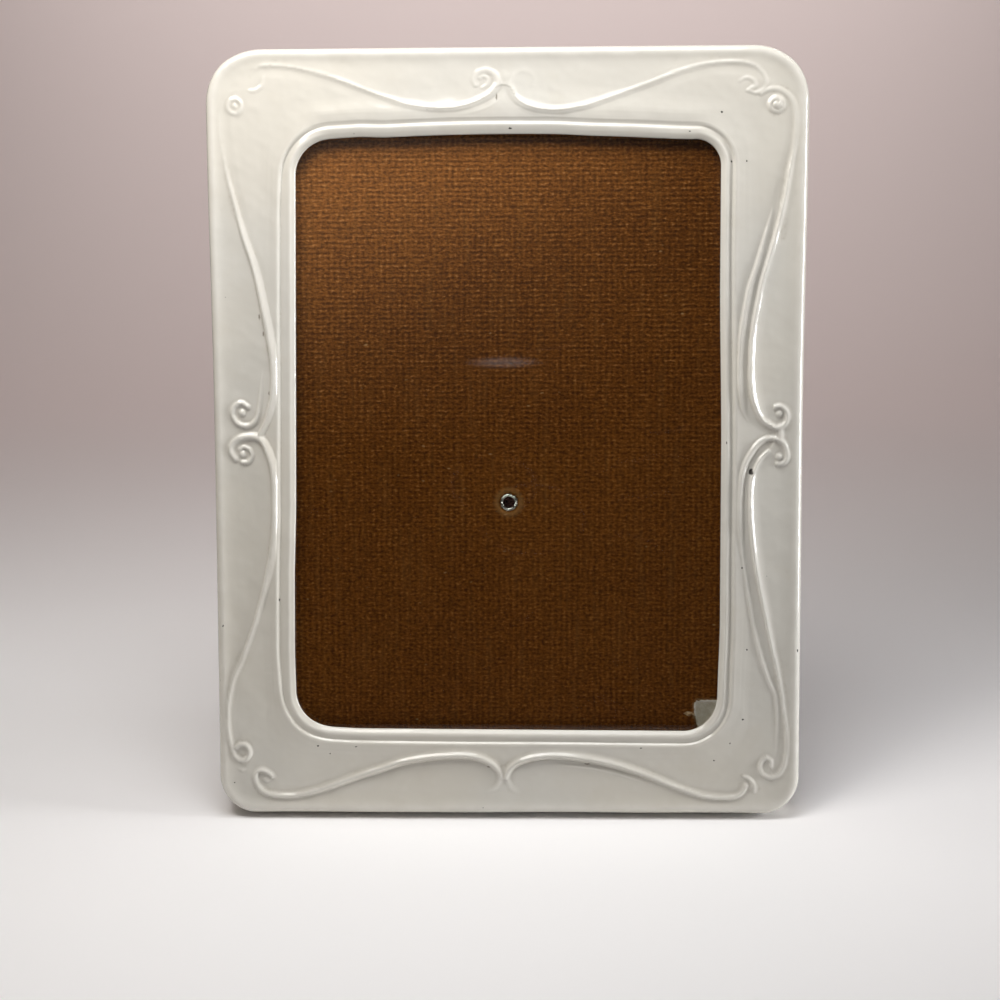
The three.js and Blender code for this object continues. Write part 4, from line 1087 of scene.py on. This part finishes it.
    # nothing goes below the surface that the frame stands on
    zmin = -OFF_Z + 0.02
    z = LEAN_C * pts[:, 1] + LEAN_S * pts[:, 2]
    low = z < zmin
    pts[low, 1] += (zmin - z[low]) / LEAN_C
    nr = len(U)
    faces = []
    for i in range(nr):
        a, b = i * NCOL, ((i + 1) % nr) * NCOL
        for j in range(NCOL):
            k = (j + 1) % NCOL
            faces.append((a + j, a + k, b + k, b + j))
    shape = outward(pts, faces)
    crease_shade_and_dirt, painted_highlight = [crease.ravel()], [crest_highlight.ravel()]
    parts = [shape]
    for bu, bv in ((-69.35, 48.0), (69.35, 48.0), (-69.35, -62.0), (69.35, -62.0)):
        prof = rounded([(1.75, 2.4), (4.0, 2.4), (4.15, 7.2), (0.0, 7.2)], [0.15, 0.35, 0, 0], 3, closed=False)
        prof = [(0.0, 6.6), (1.75, 6.6), (1.75, 2.55), (1.9, 2.4)] + prof[1:]
        boss = moved(lathe(prof, 40), (bu, bv, 0.0))
        parts.append(boss)
        crease_shade_and_dirt.append(np.full(len(boss[0]), 0.3))
        painted_highlight.append(np.zeros(len(boss[0])))
    return join(*parts), np.concatenate(crease_shade_and_dirt), np.concatenate(painted_highlight)


casting, casting_crease_shade_and_dirt, casting_painted_highlight = make_casting()
make("enamelled_casting", casting, same, "frame_body", ["cast_frame"], ENAMEL, sharp=60.0,
     extra={"crease": casting_crease_shade_and_dirt, "crest_highlight": casting_painted_highlight})

# ----------------------------------------------------------------------------
# The pane: ground edges, slightly out of flat as old drawn glass is
# ----------------------------------------------------------------------------
def make_pane():
    half_u, v0, v1 = 63.5, -0.25 - 88.8, -0.25 + 88.8
    nu, nv = 24, 34
    us, vs = np.linspace(-half_u + 0.25, half_u - 0.25, nu), np.linspace(v0 + 0.25, v1 - 0.25, nv)
    wob = waves(21, 8, 60.0, 140.0)
    gu, gv = np.meshgrid(us, vs)
    verts, faces = [], []

    def sheet(w, sign):
        z = w + 0.012 * wave_sum(wob, gu.ravel(), gv.ravel())
        base = len(verts)
        verts.extend(zip(gu.ravel(), gv.ravel(), z))
        for j in range(nv - 1):
            for i in range(nu - 1):
                q = [base + j * nu + i, base + j * nu + i + 1, base + (j + 1) * nu + i + 1, base + (j + 1) * nu + i]
                faces.append(tuple(q if sign > 0 else q[::-1]))
        return base

    f0, b0 = sheet(7.7, 1), sheet(5.7, -1)
    loop = [i for i in range(nu)] + [j * nu + nu - 1 for j in range(1, nv)] + [(nv - 1) * nu + i for i in range(nu - 2, -1, -1)] + [j * nu for j in range(nv - 2, 0, -1)]
    rings = [[f0 + i for i in loop]]
    for off, w in ((0.16, 7.63), (0.25, 7.45), (0.25, 5.95), (0.16, 5.77)):
        ring_ids = []
        for i in loop:
            x, y, _ = verts[f0 + i]
            ex = (1 if x > half_u - 0.3 else -1 if x < -half_u + 0.3 else 0)
            ey = (1 if y > v1 - 0.3 else -1 if y < v0 + 0.3 else 0)
            ring_ids.append(len(verts))
            verts.append((x + ex * off, y + ey * off, w))
        rings.append(ring_ids)
    rings.append([b0 + i for i in loop])
    m = len(loop)
    for a, b in zip(rings, rings[1:]):
        for i in range(m):
            faces.append((a[(i + 1) % m], a[i], b[i], b[(i + 1) % m]))
    return outward(verts, faces)


make("glass_pane", make_pane(), same, "frame_body", ["glass"], GLASS, sharp=30.0)

# ----------------------------------------------------------------------------
# The hardboard back: pressed screen pattern in front, broken corner, rivet hole
# ----------------------------------------------------------------------------
BREAK = [(56.2, -89.05), (55.8, -87.2), (55.4, -85.6), (55.0, -84.4), (54.75, -83.4), (54.5, -82.3), (54.25, -81.3), (54.3, -80.2), (54.05, -79.2), (54.2, -78.3),
         (54.45, -77.6), (55.0, -77.15), (55.7, -77.25), (56.3, -76.95), (57.0, -77.05), (57.8, -76.8), (58.6, -77.0), (59.4, -76.85), (60.2, -77.05), (61.5, -76.85),
         (63.45, -76.95)]


def make_board():
    half_u, v0, v1 = 63.45, -89.05, 88.55
    nu, nv = 232, 382
    us, vs = np.linspace(-half_u, half_u, nu), np.linspace(v0, v1, nv)
    gu, gv = (x.ravel().copy() for x in np.meshgrid(us, vs))
    du, dv = us[1] - us[0], vs[1] - vs[0]
    brk = np.array(BREAK)
    rng = np.random.default_rng(31)
    fine = spline(BREAK, 0.25)
    fine = fine + np.stack([0.09 * np.sin(np.arange(len(fine)) * 1.9), 0.09 * np.cos(np.arange(len(fine)) * 2.3)], 1)
    fine[0], fine[-1] = brk[0], brk[-1]
    poly = np.concatenate([fine, [[70.0, -76.5], [70.0, -95.0], [56.4, -95.0]]])
    pts = np.stack([gu, gv], 1)
    d, _, _ = near_line(pts, fine)
    sel = np.where((d < 0.30) & (np.abs(gu) < half_u - 0.01) & (gv > v0 + 0.01))[0]
    for i in sel:
        q = fine[np.argmin(((fine - pts[i]) ** 2).sum(1))]
        pts[i] = q
    r = np.hypot(pts[:, 0] - RIVET_U, pts[:, 1] - RIVET_V)
    HOLE = 2.55
    sel = np.where(np.abs(r - HOLE) < 0.29)[0]
    for i in sel:
        k = HOLE / r[i]
        pts[i] = (RIVET_U + (pts[i, 0] - RIVET_U) * k, RIVET_V + (pts[i, 1] - RIVET_V) * k)
    # relief: a chequer of small pits pressed by the screen, wandering a little
    x, y = pts[:, 0], pts[:, 1]
    wu = 0.40 * wave_sum(waves(41, 14, 6.0, 26.0), x, y)
    wv = 0.30 * wave_sum(waves(42, 14, 6.0, 26.0), x, y)
    relief = 0.022 * np.cos(2 * math.pi * (x + wu) / WEAVE_U) + (0.022 + 0.02 * smooth(-70, 70, y)) * np.cos(2 * math.pi * (y + wv) / WEAVE_V)
    relief += 0.022 * rng.standard_normal(len(x)) + 0.03 * wave_sum(waves(43, 20, 2.5, 9.0), x, y)
    rr = np.hypot(x - RIVET_U, y - RIVET_V)
    relief += 0.16 * np.exp(-((rr - 3.6) / 0.7) ** 2) - 0.30 * (1 - smooth(2.5, 3.1, rr))
    dbreak, _, _ = near_line(pts, fine)
    relief += 0.10 * np.exp(-dbreak / 0.8) * rng.standard_normal(len(x))
    edge = np.minimum(half_u - np.abs(x), np.minimum(y - v0, v1 - y))
    relief *= smooth(0.0, 1.2, edge) * 1.0
    relief -= 0.12 * (1 - smooth(0.0, 0.7, edge))
    z = 5.36 + np.clip(relief, -0.42, 0.20)
    keep = []
    for j in range(nv - 1):
        row = j * nu
        for i in range(nu - 1):
            keep.append((row + i, row + i + 1, row + nu + i + 1, row + nu + i))
    keep = np.array(keep)
    mid = pts[keep].mean(1)
    gone = inside(mid, poly) | (np.hypot(mid[:, 0] - RIVET_U, mid[:, 1] - RIVET_V) < HOLE)
    keep = keep[~gone]
    bm = bmesh.new()
    used = np.unique(keep)
    index = {}
    for i in used:
        index[i] = bm.verts.new((pts[i, 0], pts[i, 1], z[i]))
    for q in keep:
        vs4 = [index[i] for i in q]
        try:
            bm.faces.new(vs4)
        except ValueError:
            pass
    bmesh.ops.remove_doubles(bm, verts=bm.verts, dist=0.02)
    bmesh.ops.dissolve_degenerate(bm, edges=bm.edges, dist=0.004)
    rim_edges = [e for e in bm.edges if e.is_boundary]
    # the sides, in three steps, frayed where the sheet is broken
    ret = bmesh.ops.extrude_edge_only(bm, edges=rim_edges)
    ring1 = [g for g in ret["geom"] if isinstance(g, bmesh.types.BMVert)]
    edges1 = [g for g in ret["geom"] if isinstance(g, bmesh.types.BMEdge)]
    for vtx in ring1:
        vtx.co.z = 4.5
    ret = bmesh.ops.extrude_edge_only(bm, edges=edges1)
    ring2 = [g for g in ret["geom"] if isinstance(g, bmesh.types.BMVert)]
    edges2 = [g for g in ret["geom"] if isinstance(g, bmesh.types.BMEdge)]
    for vtx in ring2:
        vtx.co.z = 3.2
    ret = bmesh.ops.extrude_edge_only(bm, edges=edges2)
    ring3 = [g for g in ret["geom"] if isinstance(g, bmesh.types.BMVert)]
    edges3 = [g for g in ret["geom"] if isinstance(g, bmesh.types.BMEdge)]
    for vtx in ring3:
        vtx.co.z = 2.4
    for ringv in (ring1, ring2, ring3):
        for vtx in ringv:
            q = np.array([[vtx.co.x, vtx.co.y]])
            dd = np.sqrt(((fine - q) ** 2).sum(1)).min()
            if dd < 0.4 and abs(vtx.co.x) < half_u - 0.05 and vtx.co.y > v0 + 0.05:
                k = 0.45 if ringv is ring2 else 0.25
                vtx.co.x += k * rng.uniform(-0.6, 1.0)
                vtx.co.y += k * rng.uniform(-1.0, 0.6)
    bmesh.ops.triangle_fill(bm, use_beauty=True, use_dissolve=False, edges=edges3)
    bmesh.ops.recalc_face_normals(bm, faces=bm.faces)
    bm.verts.ensure_lookup_table()
    bm.verts.index_update()
    v = np.array([q.co[:] for q in bm.verts])
    f = [tuple(q.index for q in p.verts) for p in bm.faces]
    bm.free()
    shape = outward(v, f)
    db, _, _ = near_line(v[:, :2], fine)
    torn = 0.7 * np.exp(-(db / 0.26) ** 2)
    torn[(v[:, 2] < 5.0) & (db < 0.8)] = 0.8
    out_edge = np.minimum(half_u - np.abs(v[:, 0]), np.minimum(v[:, 1] - v0, v1 - v[:, 1]))
    torn = np.maximum(torn, 0.6 * (out_edge < 0.05))
    # torn fibres that stand along the break, in line with the sheet
    slivers, tears = [], []
    for k in range(26):
        i = int(rng.integers(3, len(fine) - 3))
        p = fine[i]
        t = fine[i + 1] - fine[i - 1]
        t /= np.linalg.norm(t)
        nrm = np.array([t[1], -t[0]])
        if inside(np.array([p + nrm * 0.3]), poly)[0] == False:
            nrm = -nrm
        ang = rng.uniform(-0.9, 0.9)
        dirn = np.array([nrm[0] * math.cos(ang) - nrm[1] * math.sin(ang), nrm[0] * math.sin(ang) + nrm[1] * math.cos(ang)])
        length, wide = rng.uniform(0.15, 0.55), rng.uniform(0.07, 0.16)
        side = np.array([-dirn[1], dirn[0]])
        zz = rng.uniform(3.4, 5.2)
        root, tip = p - dirn * 0.8, p + dirn * length
        lift = rng.uniform(-0.3, 0.3)
        q = [(*(root + side * wide), zz - 0.08), (*(root - side * wide), zz - 0.08), (*(tip - side * wide * 0.3), zz - 0.05 + lift), (*(tip + side * wide * 0.3), zz - 0.05 + lift),
             (*(root + side * wide), zz + 0.10), (*(root - side * wide), zz + 0.10), (*(tip - side * wide * 0.3), zz + 0.05 + lift), (*(tip + side * wide * 0.3), zz + 0.05 + lift)]
        slivers.append(outward(q, [(3, 2, 1, 0), (4, 5, 6, 7), (0, 1, 5, 4), (1, 2, 6, 5), (2, 3, 7, 6), (3, 0, 4, 7)]))
        tears.append(np.ones(8))
    # the flake that has lifted on the inner side of the break
    flake_line = [(50.9, -80.9), (51.9, -80.35), (53.2, -80.45), (54.4, -80.95), (54.2, -81.5), (53.3, -81.35), (52.5, -81.75), (51.7, -81.3)]
    flake = plate(rounded(flake_line, 0.3, 3), 5.30, 5.62, bevel=0.10, steps=2)
    fl = flake[0]
    fl[:, 2] += 0.10 * np.sin(fl[:, 0] * 3.1) + 0.08 * np.cos(fl[:, 1] * 4.3)
    slivers.append((fl, flake[1]))
    tears.append(np.ones(len(fl)))
    shape = join(shape, *slivers)
    return shape, np.concatenate([torn, *tears])


board, board_torn = make_board()
make("hardboard_back", board, same, "frame_body", ["backing_board"], BOARD, sharp=50.0, extra={"torn": board_torn})

# ----------------------------------------------------------------------------
# Hollow rivet: upset head behind, rolled rim in front
# ----------------------------------------------------------------------------
def make_rivet():
    prof = [(0.0, 0.30), (1.6, 0.28), (2.6, 0.30), (3.15, 0.36), (3.45, 0.48), (3.60, 0.66), (3.58, 0.82), (3.40, 0.90), (2.3, 0.95), (1.98, 1.02),
            (1.95, 1.2), (1.95, 4.55), (1.98, 4.72), (2.12, 4.82), (2.28, 4.86), (2.40, 4.95), (2.44, 5.08), (2.40, 5.22), (2.27, 5.34),
            (2.08, 5.40), (1.88, 5.37), (1.72, 5.26), (1.63, 5.08), (1.60, 4.85), (1.60, 1.45), (1.5, 1.25), (0.0, 1.15)]
    rng = np.random.default_rng(51)
    cracks = [(rng.uniform(0, 2 * math.pi), rng.uniform(0.05, 0.11), rng.uniform(0.10, 0.24)) for _ in range(6)]

    def ripple(k, a):
        if k < 11 or k > 23:
            return 0.0, 0.0
        amount = math.sin((k - 11) / 12.0 * math.pi)
        dr = 0.05 * math.sin(3 * a + 0.7) + 0.03 * math.sin(7 * a + 2.1)
        dz = 0.04 * math.sin(2 * a + 1.3)
        for c, wide, deep in cracks:
            d = (a - c + math.pi) % (2 * math.pi) - math.pi
            g = math.exp(-(d / wide) ** 2)
            dz -= deep * g
            dr -= 0.5 * deep * g * (1 if k < 19 else -0.4)
        return dr * amount, dz * amount

    return lathe(prof, 120, ripple=ripple)


make("swivel_rivet_rolled", moved(make_rivet(), (RIVET_U, RIVET_V, 0.0)), same, "frame_body", ["swivel_rivet"], BORE, sharp=40.0)

# ----------------------------------------------------------------------------
# Swivel plate and pin
# ----------------------------------------------------------------------------
def rim_of(shape, z0, z1, bevel):
    """1 on the rounded edges of flat stock, for wear."""
    z = same(shape[0])[:, 2]
    k = np.minimum(np.abs(z - z0), np.abs(z - z1))
    return np.where((k > 0.01) & (k < bevel * 1.1), 1.0, 0.15)


def make_swivel():
    outline = rounded([(-13.3, -6.6), (13.3, -6.6), (13.3, -3.6), (7.2, 4.2), (5, 6.7), (1.8, 8.1), (-1.8, 8.1), (-5, 6.7), (-7.2, 4.2), (-13.3, -3.6)],
                      [0.4, 0.4, 1.2, 1.5, 1.5, 1.5, 1.5, 1.5, 1.5, 1.2], 5)
    sheet = plate(outline, 1.3, 2.1, [circle(0, 0, 2.3, 56)], bevel=0.14)
    parts, rims = [sheet], [rim_of(sheet, 1.3, 2.1, 0.14)]
    # rolled knuckles: the sheet drops behind and wraps the pin
    cy, cz, ro, ri = -9.0, -1.2, 2.0, 1.25
    o = [(-6.2, 2.06), (-6.75, 2.10), (-7.35, 1.98), (-7.85, 1.62), (-8.15, 1.15)] + arc(cy, cz, ro, 72, 338, 34)
    i = arc(cy, cz, ri, 338, 66, 30) + [(-8.05, 0.30), (-7.70, 0.78), (-7.25, 1.16), (-6.75, 1.30), (-6.2, 1.34)]
    prof = o + i
    for x0, x1 in ((-13.3, -5.0), (5.0, 13.3)):
        k = plate(prof, x0, x1, bevel=0.12, steps=2, swap=[2, 0, 1])
        parts.append(k)
        x = k[0][:, 0]
        e = np.minimum(np.abs(x - x0), np.abs(x - x1))
        rims.append(np.where(e < 0.13, 1.0, 0.15))
    return join(*parts), np.concatenate(rims)


swivel, swivel_rim = make_swivel()
make("swivel_plate_stamped", swivel, from_swivel, "swivel_hinge", ["swivel_plate"], ZINC, sharp=40.0, extra={"rim": swivel_rim})


def make_pin():
    prof = [(0.0, -14.45), (0.7, -14.42), (1.25, -14.28), (1.58, -14.05), (1.7, -13.82), (1.66, -13.66), (1.45, -13.58), (0.95, -13.56), (0.9, -13.5),
            (0.9, 13.5), (0.95, 13.56), (1.45, 13.58), (1.66, 13.66), (1.7, 13.82), (1.58, 14.05), (1.25, 14.28), (0.7, 14.42), (0.0, 14.45)]
    v, f = lathe(prof, 48)
    v = np.stack([v[:, 2], v[:, 0] - 9.0, v[:, 1] - 1.2], 1)
    return outward(v, f)


make("hinge_pin_headed", make_pin(), from_swivel, "swivel_hinge", ["hinge_pin"], BRIGHT, sharp=40.0)

# ----------------------------------------------------------------------------
# The easel leg: stamped leaf, hardboard strut, two rivets
# ----------------------------------------------------------------------------
def make_leaf():
    outline = rounded([(-4.4, .2), (-4.4, -3.6), (-8, -6.5), (-8, -22), (-5, -25.5), (5, -25.5), (8, -22), (8, -6.5), (4.4, -3.6), (4.4, .2)],
                      [0, 1.2, 1.8, 1.8, 2.0, 2.0, 1.8, 1.8, 1.2, 0], 5)
    sheet = plate(outline, -2.0, -1.2, [circle(0, -10, 1.5, 40), circle(0, -20, 1.5, 40)], bevel=0.14)
    parts, rims = [sheet], [rim_of(sheet, -2.0, -1.2, 0.14)]
    o = [(-0.9, -1.97), (-0.4, -2.0)] + arc(0, 0, 2.0, 270, 575, 40)
    i = arc(0, 0, 1.25, 575, 270, 36) + [(-0.4, -1.25), (-0.9, -1.24)]
    k = plate(o + i, -4.4, 4.4, bevel=0.12, steps=2, swap=[2, 0, 1])
    parts.append(k)
    e = np.minimum(np.abs(k[0][:, 0] - 4.4), np.abs(k[0][:, 0] + 4.4))
    rims.append(np.where(e < 0.13, 1.0, 0.15))
    lug = plate(rounded([(-3.4, 1.3), (3.4, 1.3), (3.4, 4.0), (-3.4, 4.0)], [0, 0, 0.7, 0.7], 4), -0.5, 0.5, bevel=0.12)
    parts.append(lug)
    rims.append(rim_of(lug, -0.5, 0.5, 0.12))
    return join(*parts), np.concatenate(rims)


leaf, leaf_rim = make_leaf()
make("strut_leaf_stamped", leaf, from_leg, "easel_leg", ["strut_leaf"], ZINC, sharp=40.0, extra={"rim": leaf_rim})


def make_strut():
    pts = [(-9, -3.6), (-12, -6.6), (-23, -90), (23, -90), (12, -6.6), (9, -3.6)]
    outline = rounded(pts, [1.5, 2.5, 0, 0, 2.5, 1.5], 5)
    # points down the long edges let the sawn edge wander
    dense = []
    m = len(outline)
    for i in range(m):
        a, b = np.array(outline[i]), np.array(outline[(i + 1) % m])
        n = max(1, int(np.linalg.norm(b - a) / 1.2))
        dense += [tuple(a + (b - a) * k / n) for k in range(n)]
    dense = np.array(dense)
    wob = waves(61, 16, 3.0, 24.0)
    dense[:, 0] += 0.07 * wave_sum(wob, dense[:, 0], dense[:, 1])
    body = plate(dense, -5.3, -2.3, [circle(0, -10, 1.5, 40), circle(0, -20, 1.5, 40)], bevel=0.28, steps=3)
    v, f = body
    bm = bmesh.new()
    vs = [bm.verts.new(tuple(p)) for p in v]
    for q in f:
        bm.faces.new([vs[i] for i in q])
    # the foot is cut to stand flat
    floor = lambda p: to_world(from_leg(np.array([p])))[0][2]
    z0, zx, zy, zz = floor((0, 0, 0)), floor((1, 0, 0)), floor((0, 1, 0)), floor((0, 0, 1))
    n = np.array([zx - z0, zy - z0, zz - z0])
    co = -n * (z0 - 0.00001) / float(n @ n)
    res = bmesh.ops.bisect_plane(bm, geom=bm.verts[:] + bm.edges[:] + bm.faces[:], dist=1e-5, plane_co=tuple(co), plane_no=tuple(n), clear_inner=True)
    cut = [g for g in res["geom_cut"] if isinstance(g, bmesh.types.BMEdge)]
    bmesh.ops.triangle_fill(bm, use_beauty=True, use_dissolve=False, edges=cut)
    bmesh.ops.recalc_face_normals(bm, faces=bm.faces)
    bm.verts.ensure_lookup_table()
    bm.verts.index_update()
    v = np.array([q.co[:] for q in bm.verts])
    f = [tuple(q.index for q in p.verts) for p in bm.faces]
    bm.free()
    z = v[:, 2]
    rim = np.where((z > -5.25) & (z < -2.35), 1.0, 0.25)
    return outward(v, f), rim


strut, strut_rim = make_strut()
make("easel_strut_board", strut, from_leg, "easel_leg", ["strut"], LEG, sharp=40.0, extra={"rim": strut_rim})


def make_strut_rivet(y):
    prof = [(0.0, -6.52), (0.7, -6.49), (1.4, -6.40), (1.95, -6.22), (2.28, -5.98), (2.4, -5.76), (2.36, -5.64), (2.2, -5.58), (1.2, -5.58), (1.15, -5.5),
            (1.15, -1.0), (1.2, -0.92), (2.2, -0.92), (2.36, -0.86), (2.4, -0.74), (2.28, -0.52), (1.9, -0.32), (1.4, -0.20), (0.7, -0.12), (0.0, -0.10)]
    return moved(lathe(prof, 56), (0.0, y, 0.0))


for k, y in ((1, -10.0), (2, -20.0)):
    make("strut_rivet_%d_domed" % k, make_strut_rivet(y), from_leg, "easel_leg", ["strut_rivet_%d" % k], BRIGHT, sharp=40.0)

# ----------------------------------------------------------------------------
# Turn buttons and their slotted screws
# ----------------------------------------------------------------------------
PLACES = [(-69.35, 48.0), (69.35, 48.0), (-69.35, -62.0), (69.35, -62.0)]


def make_button():
    outline = arc(0, 0, 4.0, 75, 285, 40) + arc(8.0, 0, 2.4, -80, 80, 24)
    sheet = plate(outline, 1.1, 2.1, [circle(0, 0, 1.75, 48)], bevel=0.22, steps=3)
    v, f = sheet
    rim = rim_of(sheet, 1.1, 2.1, 0.22)
    # the tip is set a touch towards the board
    v = v.copy()
    v[:, 2] += 0.16 * smooth(4.5, 10.4, v[:, 0])
    return (v, f), rim


def make_screw(turn):
    prof = [(0.0, -0.42), (0.8, -0.40), (1.7, -0.28), (2.3, -0.05), (2.75, 0.25), (2.96, 0.52), (3.0, 0.68), (2.94, 0.78), (2.8, 0.82), (1.5, 0.82), (1.4, 0.9)]
    z = 1.0
    while z < 5.0:
        prof += [(1.4, z), (1.16, z + 0.22), (1.4, z + 0.44)]
        z += 0.5
    prof += [(1.3, 5.2), (0.4, 5.95), (0.0, 6.0)]
    body = lathe(prof, 48)
    slot = moved(box_bar(-3.4, 3.4, -0.4, 0.4, -1.0, 0.22, 0.02), (0, 0, 0))
    v, f = boolean(body, slot, "DIFFERENCE")
    return moved((v, f), (0, 0, 0), turn)


for k, (bu, bv) in enumerate(PLACES):
    button, button_rim = make_button()
    placed = moved(button, (bu, bv, 0.0), math.pi if bu > 0 else 0.0)
    local = same(button[0]) + np.array([17.0 * k, 0.0, 0.0])
    make("turn_button_%d_pressed" % (k + 1), placed, same, "button_%d" % (k + 1), ["turn_button_%d" % (k + 1)], ZINC,
         sharp=40.0, extra={"rim": button_rim}, loc=local)
    screw = make_screw(math.radians(20 + 37 * (k + 1)))
    local = same(screw[0]) + np.array([11.0 * k, 5.0, 0.0])
    make("button_screw_%d_slotted" % (k + 1), moved(screw, (bu, bv, 0.0)), same, "frame_body", ["button_screw_%d" % (k + 1)], BRIGHT,
         sharp=30.0, loc=local)

# ----------------------------------------------------------------------------
# Floor and sweep
# ----------------------------------------------------------------------------
def make_floor():
    m = Mat("pale_paper_sweep")
    tex = m.add("ShaderNodeTexCoord")
    mottled = m.noise(tex.outputs["Object"], 2.2, 3.0)
    fleck = m.noise(tex.outputs["Object"], 90.0, 3.0)
    colour = m.mix(m.ramp(mottled, 0.3, 0.7), (0.945, 0.932, 0.934), (0.930, 0.920, 0.925))
    # the sweep is painted darker and pinker from the floor back to the wall: the pink is the paper's tone, the
    # darkening is painted shade
    away = m.ramp(m.split(tex.outputs["Object"])[1], 0.0, 0.55)
    colour = m.mix(away, colour, (0.800, 0.700, 0.686))
    b = m.add("ShaderNodeBsdfPrincipled")
    m.put(b, "Base Color", colour)
    b.inputs["Roughness"].default_value = 0.75
    b.inputs["Specular IOR Level"].default_value = 0.25
    m.put(b, "Normal", m.bump(fleck, 0.05, 0.4))
    mat = m.surface(b.outputs[0])
    prof = [(-1.6, 0.0), (-0.8, 0.0), (-0.3, 0.0), (0.0, 0.0), (0.3, 0.0)]
    r, y0 = 0.40, 0.45
    for k in range(25):
        a = math.pi / 2 * k / 24
        prof.append((y0 + r * math.sin(a), r * (1 - math.cos(a))))
    prof += [(y0 + r, 0.5), (y0 + r, 1.5)]
    verts, faces = [], []
    xs = np.linspace(-1.6, 1.6, 9)
    for y, z in prof:
        verts += [(x, y, z) for x in xs]
    n = len(xs)
    for j in range(len(prof) - 1):
        for i in range(n - 1):
            faces.append((j * n + i, j * n + i + 1, (j + 1) * n + i + 1, (j + 1) * n + i))
    me = bpy.data.meshes.new("sweep")
    me.from_pydata(verts, [], faces)
    me.shade_smooth()
    me.materials.append(mat)
    ob = bpy.data.objects.new("sweep", me)
    bpy.context.scene.collection.objects.link(ob)


make_floor()


# ----------------------------------------------------------------------------
# Light
# ----------------------------------------------------------------------------
def area(name, at, aim, size, power, colour=(1, 1, 1), size_y=None, spread=180.0):
    li = bpy.data.lights.new(name, "AREA")
    li.energy = power
    li.color = colour
    li.shape = "RECTANGLE"
    li.size = size
    li.size_y = size_y or size
    li.spread = math.radians(spread)
    ob = bpy.data.objects.new(name, li)
    bpy.context.scene.collection.objects.link(ob)
    d = Vector(aim) - Vector(at)
    ob.matrix_world = Matrix.Translation(Vector(at)) @ d.to_track_quat("-Z", "Y").to_matrix().to_4x4()
    return ob


area("key", (-0.145, -0.10, 0.39), (0.0, 0.0, 0.15), 0.16, 0.60, (1.0, 0.965, 0.915), 0.12)
area("key_high", (0.01, -0.035, 0.42), (0.0, 0.0, 0.15), 0.18, 0.43, (0.99, 0.99, 0.99), 0.08)
area("key_front", (0.01, -0.130, 0.40), (0.0, 0.0, 0.15), 0.18, 0.30, (0.985, 0.99, 1.0), 0.09)
area("left_panel", (-0.85, -0.10, 0.40), (0.0, 0.0, 0.10), 0.6, 0.56, (1.0, 0.88, 0.76))
area("right_strip", (0.55, -0.055, 0.16), (0.0, 0.0, 0.115), 0.14, 0.44, (0.985, 0.99, 1.0), 0.34, 60.0)
area("backdrop", (0.0, 0.62, 0.55), (0.0, 0.85, 0.26), 0.9, 1.90, (1.0, 0.95, 0.93), 0.1)

# a dim room, with a faint glow in front of the pane, high on the left
world = bpy.data.worlds.new("room")
world.use_nodes = True
wt = world.node_tree
wt.nodes.clear()
w_out = wt.nodes.new("ShaderNodeOutputWorld")
w_bg = wt.nodes.new("ShaderNodeBackground")
w_tc = wt.nodes.new("ShaderNodeTexCoord")
w_xyz = wt.nodes.new("ShaderNodeSeparateXYZ")
wt.links.new(w_tc.outputs["Generated"], w_xyz.inputs[0])


def w_ramp(sock, a, b, lo, hi):
    n = wt.nodes.new("ShaderNodeMapRange")
    n.interpolation_type = "SMOOTHSTEP"
    for key, v in (("From Min", a), ("From Max", b), ("To Min", lo), ("To Max", hi)):
        n.inputs[key].default_value = v
    wt.links.new(sock, n.inputs["Value"])
    return n.outputs[0]


def w_times(a, b):
    n = wt.nodes.new("ShaderNodeMath")
    n.operation = "MULTIPLY"
    wt.links.new(a, n.inputs[0])
    wt.links.new(b, n.inputs[1])
    return n.outputs[0]


glow = w_times(w_ramp(w_xyz.outputs[2], 0.17, 0.45, 0.0, 0.30), w_ramp(w_xyz.outputs[2], 0.44, 0.52, 1.0, 0.0))
glow = w_times(glow, w_ramp(w_xyz.outputs[0], -0.26, 0.20, 1.0, 0.0))
glow = w_times(glow, w_ramp(w_xyz.outputs[0], -0.60, -0.30, 0.0, 1.0))
glow = w_times(glow, w_ramp(w_xyz.outputs[1], -0.75, -0.55, 1.0, 0.0))
w_add = wt.nodes.new("ShaderNodeMath")
w_add.operation = "ADD"
w_add.inputs[1].default_value = 0.012
wt.links.new(glow, w_add.inputs[0])
wt.links.new(w_add.outputs[0], w_bg.inputs["Strength"])
w_bg.inputs["Color"].default_value = (1.0, 0.97, 0.94, 1.0)
wt.links.new(w_bg.outputs[0], w_out.inputs["Surface"])
bpy.context.scene.world = world
bpy.context.scene.view_settings.view_transform = "Standard"

# ----------------------------------------------------------------------------
# Camera: a 53 mm lens on a 36 mm square, 0.42 m in front of the face
# ----------------------------------------------------------------------------
cam = bpy.data.cameras.new("camera")
cam.sensor_width = 36.0
cam.lens = 53.17
cam.clip_start = 0.01
cam_ob = bpy.data.objects.new("camera", cam)
bpy.context.scene.collection.objects.link(cam_ob)
right = Vector((0.999729, 0.021672, -0.008493))
up = Vector((0.001745, 0.29406, 0.955785))
back = Vector((0.023211, -0.955541, 0.293943))
cam_ob.matrix_world = Matrix(((right.x, up.x, back.x, 0.007737), (right.y, up.y, back.y, -0.41259), (right.z, up.z, back.z, 0.21532), (0, 0, 0, 1)))
bpy.context.scene.camera = cam_ob
